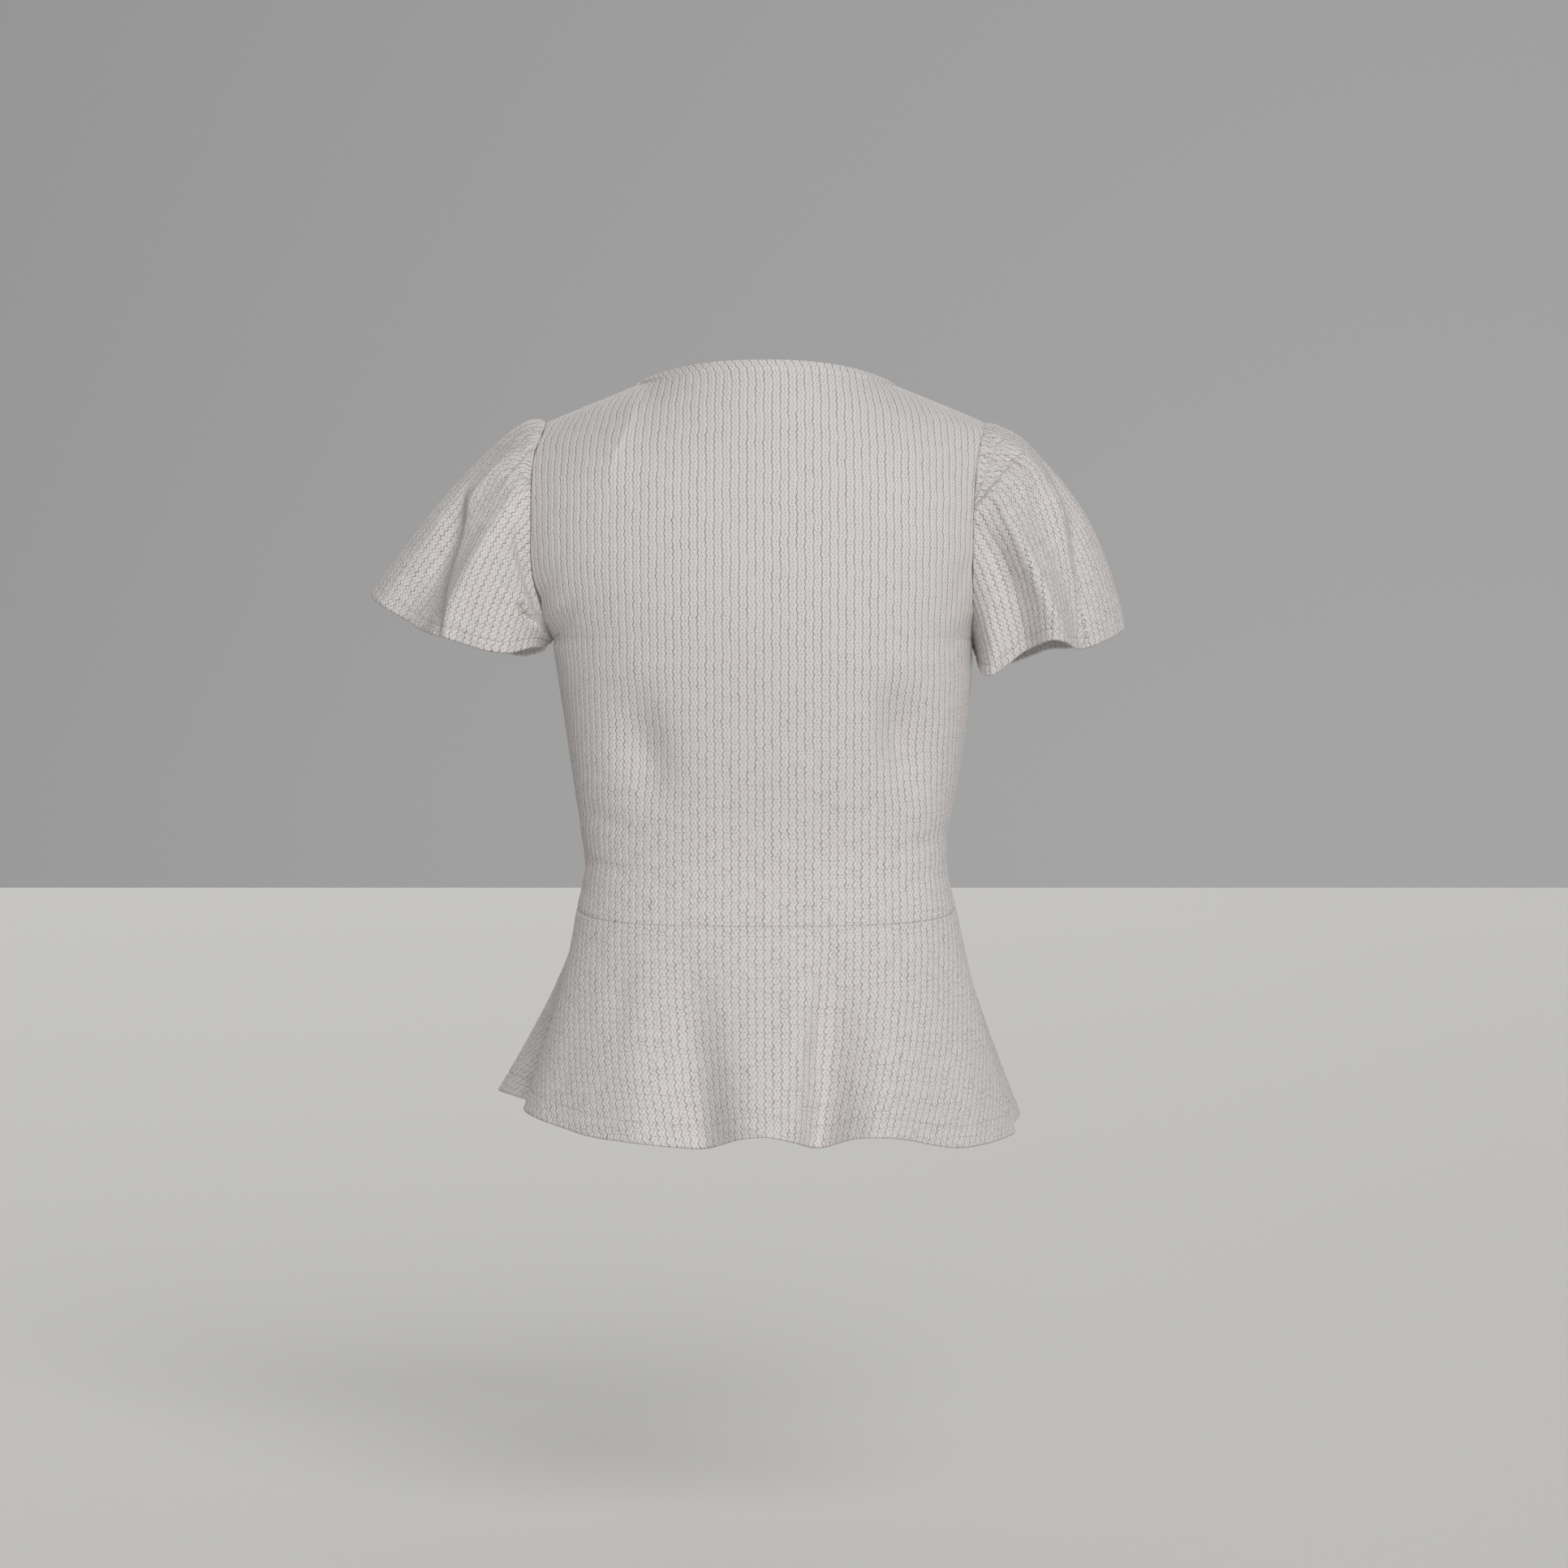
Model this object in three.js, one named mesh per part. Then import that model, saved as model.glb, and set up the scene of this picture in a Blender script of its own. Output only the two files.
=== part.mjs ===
// Short-sleeved peplum blouse in a crinkle-rib knit, in its worn and hollow form.
// Millimetres, +Z up. The back of the blouse faces -Y, its front faces +Y.
// The origin lies between the shoulders, level with the neck ends of the shoulder seams.
import * as THREE from "three";

// Driving sizes
const WALL = 1.5;
const RIB_HEIGHT = 0.6;
const SEAM_GAP = 0.3;
const NECK_HALF_WIDTH = 86;
const SHOULDER_HALF_WIDTH = 147.3;
const SHOULDER_NECK_Z = 1.5;
const SHOULDER_TIP_Z = -23.5;
const ARMHOLE_DEPTH = 50;
const WAIST_SIDE_Z = -347;
const WAIST_BACK_SAG = 12;
const WAIST_FRONT_SAG = 9;
const WAIST_SAG_POWER = 2.6;
const SECTION_POWER = 0.84;

// Grids: a rib takes two columns of the outer points. The plain inside is coarser, and has points
// only at the even columns listed, closer together where the cloth turns at the neck or in a fold.
const BODICE_COLUMNS = 140;
const NECK_COLUMNS = 82;
const BODICE_INNER = [0, 8, 16, 24, 28, 30, 34, 42, 50, 58, 66, 74, 82, 90, 98, 106, 110, 112, 116, 124,
  132, 140];
const BODICE_ROWS = [0, 0.08, 0.2, 0.36, 0.547, 0.572, 0.63, 0.72, 0.81, 0.885, 0.945, 0.985, 1];
const UNDERARM_ROW = 4;
const PEPLUM_COLUMNS = 120;
const PEPLUM_INNER = [0, 4, 8, 12, 16, 20, 24, 28, 30, 32, 36, 40, 44, 46, 48, 50, 52, 56, 60, 64, 68, 70,
  72, 74, 76, 80, 84, 88, 90, 92, 96, 100, 104, 108, 112, 116, 120];
const PEPLUM_ROWS = [0, 0.16, 0.33, 0.5, 0.67, 0.84, 1];
const SLEEVE_COLUMNS = 104;
const SLEEVE_INNER = Array.from({ length: SLEEVE_COLUMNS / 2 }, (_, index) => index * 2);
const SLEEVE_ROWS = [0, 0.1, 0.22, 0.36, 0.52, 0.68, 0.84, 1];

// Body sections by height: half widths at the left and right edges, and the back and front depths
const SECTIONS = [
  { z: -372, left: 134, right: 136, back: 82, front: 96 },
  { z: -347, left: 126, right: 127.5, back: 72, front: 89 },
  { z: -321, left: 121.3, right: 122, back: 68, front: 88 },
  { z: -292, left: 124.6, right: 123.6, back: 71, front: 93 },
  { z: -260, left: 129.2, right: 130, back: 79, front: 101 },
  { z: -208, left: 137, right: 137, back: 91, front: 112 },
  { z: -169, left: 143.4, right: 138.8, back: 98, front: 113 },
  { z: -130, left: 154, right: 138, back: 100, front: 108 },
  { z: -90, left: 155.4, right: 138.3, back: 99, front: 99 },
  { z: -50, left: 154, right: 141.5, back: 96, front: 90 },
  { z: -23.5, left: 147.3, right: 147.3, back: 93, front: 84 },
  { z: 20, left: 147.3, right: 147.3, back: 92, front: 82 },
];

// Neck edge and the way the cloth rolls over the shoulders, for the back and the front.
// The roll climbs towards the neck, and the neck edge is cut across it.
const BACK_TOP = { rise: 11.5, roll: 140, bend: 1.6 };
const FRONT_TOP = { rise: -70, roll: 150, bend: 1.5 };
const BACK_RISE_POWER = 2.7;
const FRONT_CORNER_SHARE = 0.3;
const NECK_CLIMB = 62;
const NECK_CLIMB_POWER = 1.5;
const SHOULDER_BEND = 2;
const SPREAD_TOP_Z = 0;
const SPREAD_DEPTH = 115;

// Hem of the peplum, one row for each fold crest, fold trough or turn between them
const BACK_HEM = [
  { x: -143, y: 0, z: -484 },
  { x: -153, y: -8, z: -483 },
  { x: -161, y: -25, z: -482 },
  { x: -153, y: -46, z: -485.5 },
  { x: -135, y: -64, z: -490.5 },
  { x: -114, y: -82, z: -495.5 },
  { x: -84, y: -99, z: -498.5 },
  { x: -60, y: -98, z: -501 },
  { x: -39, y: -93, z: -502.5 },
  { x: -17, y: -115, z: -495 },
  { x: 1, y: -120, z: -493 },
  { x: 19, y: -113, z: -497 },
  { x: 35, y: -94, z: -502 },
  { x: 57, y: -110, z: -495 },
  { x: 73, y: -117, z: -493.5 },
  { x: 91, y: -106, z: -495.5 },
  { x: 123, y: -78, z: -503 },
  { x: 146, y: -54, z: -502.5 },
  { x: 166, y: -20, z: -498.5 },
  { x: 164, y: -6, z: -497.5 },
  { x: 158, y: 2, z: -497 },
];
const FRONT_HEM = [
  { x: -143, y: 0, z: -484 },
  { x: -158, y: 10, z: -479 },
  { x: -179, y: 33, z: -474 },
  { x: -180, y: 56, z: -475 },
  { x: -158, y: 74, z: -483 },
  { x: -128, y: 86, z: -493 },
  { x: -98, y: 110, z: -491 },
  { x: -77, y: 111, z: -492 },
  { x: -52, y: 98, z: -500 },
  { x: -25, y: 114, z: -493 },
  { x: -4, y: 121, z: -490 },
  { x: 17, y: 115, z: -494 },
  { x: 42, y: 100, z: -500 },
  { x: 68, y: 116, z: -492 },
  { x: 90, y: 114, z: -491 },
  { x: 116, y: 90, z: -499 },
  { x: 146, y: 74, z: -497 },
  { x: 167, y: 54, z: -490 },
  { x: 173, y: 34, z: -489 },
  { x: 167, y: 12, z: -494 },
  { x: 158, y: 2, z: -497 },
];
// The hem oval that the flutes stand out from, and how soon they begin below the waist
const PLAIN_HEM = { left: 150, right: 158, depth: 100 };
const FLUTE_START_POWER = 1.25;

// Sleeve hems, from the outer tip round the back to the underarm and back along the front.
// turn is the share of the way round, out is the distance from the middle, as on the armhole.
const LEFT_SLEEVE_HEM = [
  { turn: 0, out: 265, y: 4, z: -138 },
  { turn: 0.045, out: 258, y: -14, z: -145 },
  { turn: 0.095, out: 241, y: -22, z: -155 },
  { turn: 0.145, out: 228, y: -38, z: -163 },
  { turn: 0.19, out: 218, y: -60, z: -167 },
  { turn: 0.24, out: 205, y: -63, z: -171 },
  { turn: 0.3, out: 186, y: -57, z: -177 },
  { turn: 0.36, out: 169, y: -52, z: -179 },
  { turn: 0.42, out: 155, y: -38, z: -176 },
  { turn: 0.465, out: 149.5, y: -18, z: -180 },
  { turn: 0.5, out: 148.5, y: 0, z: -183 },
  { turn: 0.56, out: 152, y: 26, z: -180 },
  { turn: 0.64, out: 168, y: 49, z: -178 },
  { turn: 0.72, out: 190, y: 52, z: -172 },
  { turn: 0.78, out: 206, y: 68, z: -165 },
  { turn: 0.84, out: 224, y: 56, z: -160 },
  { turn: 0.9, out: 240, y: 38, z: -153 },
  { turn: 0.955, out: 259, y: 26, z: -143 },
];
const RIGHT_SLEEVE_HEM = [
  { turn: 0, out: 241, y: 6, z: -159 },
  { turn: 0.045, out: 238, y: -10, z: -164 },
  { turn: 0.09, out: 224, y: -28, z: -171 },
  { turn: 0.135, out: 209, y: -40, z: -176 },
  { turn: 0.175, out: 198, y: -58, z: -172 },
  { turn: 0.22, out: 187, y: -62, z: -171 },
  { turn: 0.27, out: 173, y: -42, z: -177 },
  { turn: 0.32, out: 162, y: -44, z: -186 },
  { turn: 0.37, out: 151, y: -52, z: -193 },
  { turn: 0.42, out: 144, y: -42, z: -193 },
  { turn: 0.46, out: 142.5, y: -20, z: -189 },
  { turn: 0.5, out: 143, y: 0, z: -187 },
  { turn: 0.57, out: 147, y: 28, z: -186 },
  { turn: 0.65, out: 158, y: 50, z: -186 },
  { turn: 0.72, out: 176, y: 50, z: -180 },
  { turn: 0.79, out: 194, y: 66, z: -173 },
  { turn: 0.86, out: 211, y: 52, z: -172 },
  { turn: 0.93, out: 229, y: 36, z: -166 },
];
// How far the gathered cap stands out and up from the straight line between armhole and hem
const LEFT_CAP = { out: -26, up: 65 };
const RIGHT_CAP = { out: 25, up: 41 };
const CAP_SPREAD = 2.2;
const BELL = { out: 10, side: 11 };
// Gathers at the armhole seam: crest places round it, with their height and how far they reach
const CAP_GATHERS = [
  { turn: 0.028, height: 3.2, width: 0.022, reach: 0.5 },
  { turn: 0.075, height: 3.4, width: 0.02, reach: 0.62 },
  { turn: 0.125, height: 2.6, width: 0.02, reach: 0.45 },
  { turn: 0.175, height: 2, width: 0.02, reach: 0.35 },
  { turn: 0.83, height: 2.2, width: 0.02, reach: 0.4 },
  { turn: 0.885, height: 3, width: 0.02, reach: 0.55 },
  { turn: 0.94, height: 3.4, width: 0.022, reach: 0.6 },
];

const GATHER_RISE_POWER = 0.6;
const GATHER_OUT_SHARE = 0.35;
const SLOPE_STEP = 0.002;

const mix = (a, b, share) => a + (b - a) * share;
const clamp = (value, low, high) => Math.min(high, Math.max(low, value));
const smooth = (value) => value * value * (3 - 2 * value);

// Smooth curve through four neighbouring values of evenly spaced rows
function through(before, a, b, after, share) {
  const slopeA = (b - before) / 2;
  const slopeB = (after - a) / 2;
  const s2 = share * share;
  const s3 = s2 * share;
  return (2 * s3 - 3 * s2 + 1) * a + (s3 - 2 * s2 + share) * slopeA
    + (3 * s2 - 2 * s3) * b + (s3 - s2) * slopeB;
}

// Value of one column of a table at a height, on a smooth curve through its rows
function sectionValue(z, column) {
  const last = SECTIONS.length - 2;
  let row = 0;
  while (row < last && SECTIONS[row + 1].z < z) {
    row += 1;
  }
  const a = SECTIONS[row];
  const b = SECTIONS[row + 1];
  const before = SECTIONS[Math.max(row - 1, 0)];
  const after = SECTIONS[Math.min(row + 2, SECTIONS.length - 1)];
  const run = b.z - a.z;
  const slopeA = (b[column] - before[column]) / (b.z - before.z);
  const slopeB = (after[column] - a[column]) / (after.z - a.z);
  const s = clamp((z - a.z) / run, 0, 1);
  const s2 = s * s;
  const s3 = s2 * s;
  return (2 * s3 - 3 * s2 + 1) * a[column] + (s3 - 2 * s2 + s) * slopeA * run
    + (3 * s2 - 2 * s3) * b[column] + (s3 - s2) * slopeB * run;
}

// Armhole edge: an upright ellipse in side view, whose distance from the middle follows the sections
const EDGE_ROWS = BODICE_ROWS.map((row) => mix(WAIST_SIDE_Z + SEAM_GAP / 2, SHOULDER_TIP_Z, row));
const UNDERARM_Z = EDGE_ROWS[UNDERARM_ROW];
const ARMHOLE_MIDDLE_Z = (SHOULDER_TIP_Z + UNDERARM_Z) / 2;
const ARMHOLE_HALF_HEIGHT = (SHOULDER_TIP_Z - UNDERARM_Z) / 2;

function ellipseDepth(z) {
  const share = clamp((z - ARMHOLE_MIDDLE_Z) / ARMHOLE_HALF_HEIGHT, -1, 1);
  return ARMHOLE_DEPTH * Math.sqrt(1 - share * share);
}

// The armhole at an angle from its top, on the straight stretches between the bodice's own rows
function armholePoint(angle, side) {
  const z = ARMHOLE_MIDDLE_Z + ARMHOLE_HALF_HEIGHT * Math.cos(angle);
  let row = UNDERARM_ROW;
  while (row < EDGE_ROWS.length - 2 && EDGE_ROWS[row + 1] < z) {
    row += 1;
  }
  const low = EDGE_ROWS[row];
  const high = EDGE_ROWS[row + 1];
  const share = (z - low) / (high - low);
  const depth = mix(ellipseDepth(low), ellipseDepth(high), share);
  const column = side < 0 ? "left" : "right";
  return {
    out: mix(sectionValue(low, column), sectionValue(high, column), share),
    y: -Math.sign(Math.sin(angle)) * depth,
    z,
  };
}

// Share of full depth at a distance below the top edge, as the cloth rolls over to that edge
function rolled(below, roll, bend) {
  const share = clamp(1 - below / roll, 0, 1);
  return Math.pow(1 - Math.pow(share, bend), 1 / bend);
}

// Waist seam height for a place across a panel, from -1 at one side seam to 1 at the other
function waistZ(across, sag) {
  return WAIST_SIDE_Z - sag * (1 - Math.pow(Math.abs(across), WAIST_SAG_POWER));
}

// Point of the closed body section at a height: face is -1 for the back and 1 for the front
function sectionPoint(across, z, face) {
  const depth = sectionValue(z, face < 0 ? "back" : "front");
  const side = sectionValue(z, across < 0 ? "left" : "right");
  const edge = z > ARMHOLE_MIDDLE_Z ? ARMHOLE_DEPTH : ellipseDepth(z);
  const cut = Math.acos(Math.pow(edge / depth, 1 / SECTION_POWER));
  const angle = Math.abs(across) * cut;
  const reach = Math.pow(Math.sin(angle), SECTION_POWER) / Math.pow(Math.sin(cut), SECTION_POWER);
  return { x: Math.sign(across) * side * reach, depth: depth * Math.pow(Math.cos(angle), SECTION_POWER) };
}

// Bodice panel: body sections below, and above them the roll over the shoulder or up to the neck edge
function bodicePoint(across, up, face) {
  const top = face < 0 ? BACK_TOP : FRONT_TOP;
  const sag = face < 0 ? WAIST_BACK_SAG : WAIST_FRONT_SAG;
  const size = Math.abs(across);
  const neckShare = NECK_COLUMNS / BODICE_COLUMNS;
  const alongNeck = clamp(size / neckShare, 0, 1);
  const alongShoulder = clamp((size - neckShare) / (1 - neckShare), 0, 1);
  const turn = (alongNeck * Math.PI) / 2;
  const reach = face < 0 ? alongNeck : mix(Math.sin(turn), alongNeck, FRONT_CORNER_SHARE);
  const topX = mix(reach * NECK_HALF_WIDTH, SHOULDER_HALF_WIDTH, alongShoulder);
  const neckCurve = face < 0 ? 1 - Math.pow(alongNeck, BACK_RISE_POWER) : Math.cos(turn);
  const seamZ = mix(SHOULDER_NECK_Z, SHOULDER_TIP_Z, alongShoulder);
  const edgeZ = seamZ + top.rise * neckCurve;
  const ridgeZ = seamZ + NECK_CLIMB * Math.pow(1 - reach * reach, NECK_CLIMB_POWER);
  const z = mix(waistZ(across, sag) + SEAM_GAP / 2, edgeZ, up);
  const section = sectionPoint(across, z, face);
  const toShoulder = reach * reach;
  const roll = mix(top.roll, ARMHOLE_HALF_HEIGHT, toShoulder);
  const bend = mix(top.bend, SHOULDER_BEND, toShoulder);
  const depth = section.depth * rolled(ridgeZ - z, roll, bend);
  const side = sectionValue(z, across < 0 ? "left" : "right");
  const spread = smooth(clamp((z - SPREAD_TOP_Z) / SPREAD_DEPTH + 1, 0, 1));
  const x = mix(section.x, (Math.sign(across) * topX * side) / SHOULDER_HALF_WIDTH, spread);
  return new THREE.Vector3(x, face * (depth + SEAM_GAP / 2), z);
}

// Peplum panel: from the waist seam down to the hem rows, its flutes deepening on the way
function peplumPoint(across, down, face) {
  const rows = face < 0 ? BACK_HEM : FRONT_HEM;
  const sag = face < 0 ? WAIST_BACK_SAG : WAIST_FRONT_SAG;
  const seamZ = waistZ(across, sag);
  const seam = sectionPoint(across, seamZ, face);
  const place = (across + 1) / 2 * (rows.length - 1);
  const row = Math.min(Math.floor(place), rows.length - 2);
  const pick = (index) => rows[clamp(index, 0, rows.length - 1)];
  const hem = ["x", "y", "z"].map((axis) => through(pick(row - 1)[axis], pick(row)[axis],
    pick(row + 1)[axis], pick(row + 2)[axis], place - row));
  const angle = across * Math.PI / 2;
  const plainSide = Math.sign(across) * (across < 0 ? PLAIN_HEM.left : PLAIN_HEM.right);
  const plainX = plainSide * Math.pow(Math.abs(Math.sin(angle)), SECTION_POWER);
  const plainY = face * PLAIN_HEM.depth * Math.pow(Math.cos(angle), SECTION_POWER);
  const flute = Math.pow(down, FLUTE_START_POWER);
  const x = mix(seam.x, plainX, down) + (hem[0] - plainX) * flute;
  const y = mix(face * seam.depth, plainY, down) + (hem[1] - plainY) * flute;
  const z = mix(seamZ - SEAM_GAP / 2, hem[2], down);
  return new THREE.Vector3(x, y + face * SEAM_GAP / 2, z);
}

// Hem of a sleeve at a share of the way round, on a closed smooth curve through its rows
function sleeveHem(rows, turn) {
  const count = rows.length;
  let row = count - 1;
  while (rows[row].turn > turn) {
    row -= 1;
  }
  const start = rows[row].turn;
  const end = row === count - 1 ? 1 : rows[row + 1].turn;
  const pick = (index) => rows[(index + count) % count];
  return ["out", "y", "z"].map((axis) => through(pick(row - 1)[axis], pick(row)[axis],
    pick(row + 1)[axis], pick(row + 2)[axis], (turn - start) / (end - start)));
}

// Sleeve: from the armhole ellipse out over the gathered cap and down to the flared hem
function sleevePoint(turn, along, side, rows, rise) {
  const round = turn - Math.floor(turn);
  const angle = round * Math.PI * 2;
  const seam = armholePoint(angle, side);
  const seamOut = seam.out + SEAM_GAP;
  const [hemOut, hemY, hemZ] = sleeveHem(rows, round);
  const cap = Math.pow((1 + Math.cos(angle)) / 2, CAP_SPREAD);
  const middleOut = (seamOut + hemOut) / 2 + rise.out * cap + BELL.out * (1 - cap);
  const middleY = (seam.y + hemY) / 2 - BELL.side * Math.sin(angle);
  const middleZ = (seam.z + hemZ) / 2 + rise.up * cap;
  const first = (1 - along) * (1 - along);
  const second = 2 * along * (1 - along);
  const third = along * along;
  let out = first * seamOut + second * middleOut + third * hemOut;
  let y = first * seam.y + second * middleY + third * hemY;
  let z = first * seam.z + second * middleZ + third * hemZ;
  for (const gather of CAP_GATHERS) {
    const apart = Math.abs(round - gather.turn);
    const near = Math.min(apart, 1 - apart) / gather.width;
    const rise = Math.sin(Math.PI * Math.pow(clamp(along / gather.reach, 0, 1), GATHER_RISE_POWER));
    const height = gather.height * Math.exp(-near * near) * rise;
    out += height * GATHER_OUT_SHARE;
    y -= height * Math.sin(angle);
    z += height * Math.cos(angle);
  }
  return new THREE.Vector3(side * out, y, z);
}

// Outward direction of a surface at a point, from its own slopes, as the same side all over
function outward(surface, a, b, facing) {
  const ahead = surface(Math.min(a + SLOPE_STEP, 1), b);
  const behind = surface(Math.max(a - SLOPE_STEP, facing.wraps ? a - SLOPE_STEP : -1), b);
  const above = surface(a, Math.min(b + SLOPE_STEP, 1));
  const below = surface(a, Math.max(b - SLOPE_STEP, 0));
  const normal = ahead.sub(behind).cross(above.sub(below)).normalize();
  return normal.multiplyScalar(facing.sign);
}

// Closed cloth wall: ribbed outer points over a plain and coarser inside, joined round its rims
function clothWall(surface, plan) {
  const points = [];
  const faces = [];
  const { columns, rows, inside, facing } = plan;
  const across = (column) => (facing.wraps ? column / columns : (2 * column) / columns - 1);
  const outerWidth = facing.wraps ? columns : columns + 1;
  const innerWidth = inside.length;
  const innerCells = facing.wraps ? innerWidth : innerWidth - 1;
  const add = (column, row, lift) => {
    const a = across(column);
    const b = rows[row];
    const direction = outward(surface, a, b, facing);
    plan.square(direction, column, row);
    points.push(surface(a, b).addScaledVector(direction.normalize(), lift));
  };
  for (let row = 0; row < rows.length; row += 1) {
    for (let column = 0; column < outerWidth; column += 1) {
      add(column, row, column % 2 === 1 ? RIB_HEIGHT : 0);
    }
  }
  const innerStart = points.length;
  for (let row = 0; row < rows.length; row += 1) {
    for (const column of inside) {
      add(column, row, -WALL);
    }
  }
  const outer = (column, row) => row * outerWidth + (column % outerWidth);
  const inner = (cell, row) => innerStart + row * innerWidth + (cell % innerWidth);
  for (let row = 0; row + 1 < rows.length; row += 1) {
    for (let column = 0; column < columns; column += 1) {
      faces.push([outer(column, row), outer(column + 1, row), outer(column + 1, row + 1)]);
      faces.push([outer(column, row), outer(column + 1, row + 1), outer(column, row + 1)]);
    }
    for (let cell = 0; cell < innerCells; cell += 1) {
      faces.push([inner(cell, row), inner(cell + 1, row + 1), inner(cell + 1, row)]);
      faces.push([inner(cell, row), inner(cell, row + 1), inner(cell + 1, row + 1)]);
    }
    if (!facing.wraps) {
      const end = innerCells;
      faces.push([outer(0, row), outer(0, row + 1), inner(0, row + 1)]);
      faces.push([outer(0, row), inner(0, row + 1), inner(0, row)]);
      faces.push([outer(columns, row), inner(end, row + 1), outer(columns, row + 1)]);
      faces.push([outer(columns, row), inner(end, row), inner(end, row + 1)]);
    }
  }
  const topRow = rows.length - 1;
  const rim = (column, cell) => {
    faces.push([outer(column + 1, 0), outer(column, 0), inner(cell, 0)]);
    faces.push([outer(column, topRow), outer(column + 1, topRow), inner(cell, topRow)]);
  };
  for (let cell = 0; cell < innerCells; cell += 1) {
    const start = inside[cell];
    const end = cell + 1 < innerWidth ? inside[cell + 1] : columns;
    const meet = (start + end) / 2;
    for (let column = start; column < end; column += 1) {
      rim(column, column < meet ? cell : cell + 1);
    }
    faces.push([inner(cell, 0), inner(cell + 1, 0), outer(meet, 0)]);
    faces.push([inner(cell + 1, topRow), inner(cell, topRow), outer(meet, topRow)]);
  }
  const geometry = new THREE.BufferGeometry();
  geometry.setAttribute("position",
    new THREE.Float32BufferAttribute(points.flatMap((point) => point.toArray()), 3));
  const flip = facing.sign < 0;
  geometry.setIndex(faces.flatMap(([a, b, c]) => (flip ? [a, c, b] : [a, b, c])));
  geometry.computeVertexNormals();
  return geometry;
}

const garment = new THREE.Group();

function addCloth(name, geometry, colour) {
  const cloth = new THREE.MeshStandardMaterial({ color: colour, roughness: 0.92, metalness: 0 });
  const mesh = new THREE.Mesh(geometry, cloth);
  mesh.name = name;
  garment.add(mesh);
}

// Square a panel's rims to its seams, so that neighbours stay the seam gap apart through their thickness
function squareBodice(direction, column, row) {
  const edge = column === 0 || column === BODICE_COLUMNS;
  const shoulder = Math.abs(column - BODICE_COLUMNS / 2) >= NECK_COLUMNS / 2;
  if (edge && row <= UNDERARM_ROW) {
    direction.y = 0;
  }
  if (shoulder && row === BODICE_ROWS.length - 1) {
    direction.set(0, 0, 1);
  }
  if (row === 0) {
    direction.z = 0;
  }
}

function squarePeplum(direction, column, row) {
  if (column === 0 || column === PEPLUM_COLUMNS) {
    direction.y = 0;
  }
  if (row === 0) {
    direction.z = 0;
  }
}

// At the armhole the sleeve's thickness lies in the seam's own upright plane
function squareSleeve(direction, column, row) {
  if (row === 0) {
    const angle = (column / SLEEVE_COLUMNS) * Math.PI * 2;
    direction.set(0, -Math.sin(angle), Math.cos(angle));
  }
}

function addBodice(name, face) {
  const plan = {
    columns: BODICE_COLUMNS,
    rows: BODICE_ROWS,
    inside: BODICE_INNER,
    facing: { sign: -face, wraps: false },
    square: squareBodice,
  };
  addCloth(name, clothWall((across, up) => bodicePoint(across, up, face), plan), 0xcbc6c4);
}

function addPeplum(name, face) {
  const plan = {
    columns: PEPLUM_COLUMNS,
    rows: PEPLUM_ROWS,
    inside: PEPLUM_INNER,
    facing: { sign: face, wraps: false },
    square: squarePeplum,
  };
  addCloth(name, clothWall((across, down) => peplumPoint(across, down, face), plan), 0xc4bfbc);
}

function addSleeve(name, side, hem, rise) {
  const plan = {
    columns: SLEEVE_COLUMNS,
    rows: SLEEVE_ROWS,
    inside: SLEEVE_INNER,
    facing: { sign: side, wraps: true },
    square: squareSleeve,
  };
  const surface = (turn, along) => sleevePoint(turn, along, side, hem, rise);
  addCloth(name, clothWall(surface, plan), 0xd0c9c3);
}

addBodice("bodice_back", -1);
addBodice("bodice_front", 1);
addPeplum("peplum_back", -1);
addPeplum("peplum_front", 1);
addSleeve("sleeve_left", -1, LEFT_SLEEVE_HEM, LEFT_CAP);
addSleeve("sleeve_right", 1, RIGHT_SLEEVE_HEM, RIGHT_CAP);

export default garment;
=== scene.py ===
import bpy
import numpy as np
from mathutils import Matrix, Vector


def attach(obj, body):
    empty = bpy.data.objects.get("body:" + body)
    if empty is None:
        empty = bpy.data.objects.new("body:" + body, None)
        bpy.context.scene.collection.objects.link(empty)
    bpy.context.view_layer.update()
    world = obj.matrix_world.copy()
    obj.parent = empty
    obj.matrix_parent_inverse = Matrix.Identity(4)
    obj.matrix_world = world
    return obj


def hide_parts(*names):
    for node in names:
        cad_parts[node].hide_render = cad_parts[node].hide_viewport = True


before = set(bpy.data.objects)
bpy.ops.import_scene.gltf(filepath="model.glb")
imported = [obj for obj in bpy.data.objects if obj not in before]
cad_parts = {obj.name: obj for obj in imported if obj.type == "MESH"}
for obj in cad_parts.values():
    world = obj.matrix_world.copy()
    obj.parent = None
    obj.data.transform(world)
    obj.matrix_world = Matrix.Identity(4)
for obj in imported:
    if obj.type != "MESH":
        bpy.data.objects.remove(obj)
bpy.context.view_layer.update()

# Sizes of the blouse in millimetres, as in its solids. Its back faces -Y and its front +Y.
MM = 0.001
WALL = 1.3
HEM_WALL = 1.9
SEAM_GAP = 0.02
SLEEVE_TUCK = 1.2
NECK_HALF_WIDTH = 86
SHOULDER_HALF_WIDTH = 147.3
SHOULDER_NECK_Z = 1.5
SHOULDER_TIP_Z = -23.5
ARMHOLE_DEPTH = 50
UNDERARM_UP = 0.547
WAIST_SIDE_Z = -347
WAIST_BACK_SAG = 12
WAIST_FRONT_SAG = 9
WAIST_SAG_POWER = 2.6
SECTION_POWER = 0.84
NECK_SHARE = 82 / 140
BACK_RISE_POWER = 2.7
FRONT_CORNER_SHARE = 0.3
NECK_CLIMB = 62
NECK_CLIMB_POWER = 1.5
SHOULDER_BEND = 2
FADE_POWER = 0.7
FADE_WIDTH = 14
SPREAD_TOP_Z = 0
SPREAD_DEPTH = 115
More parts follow.
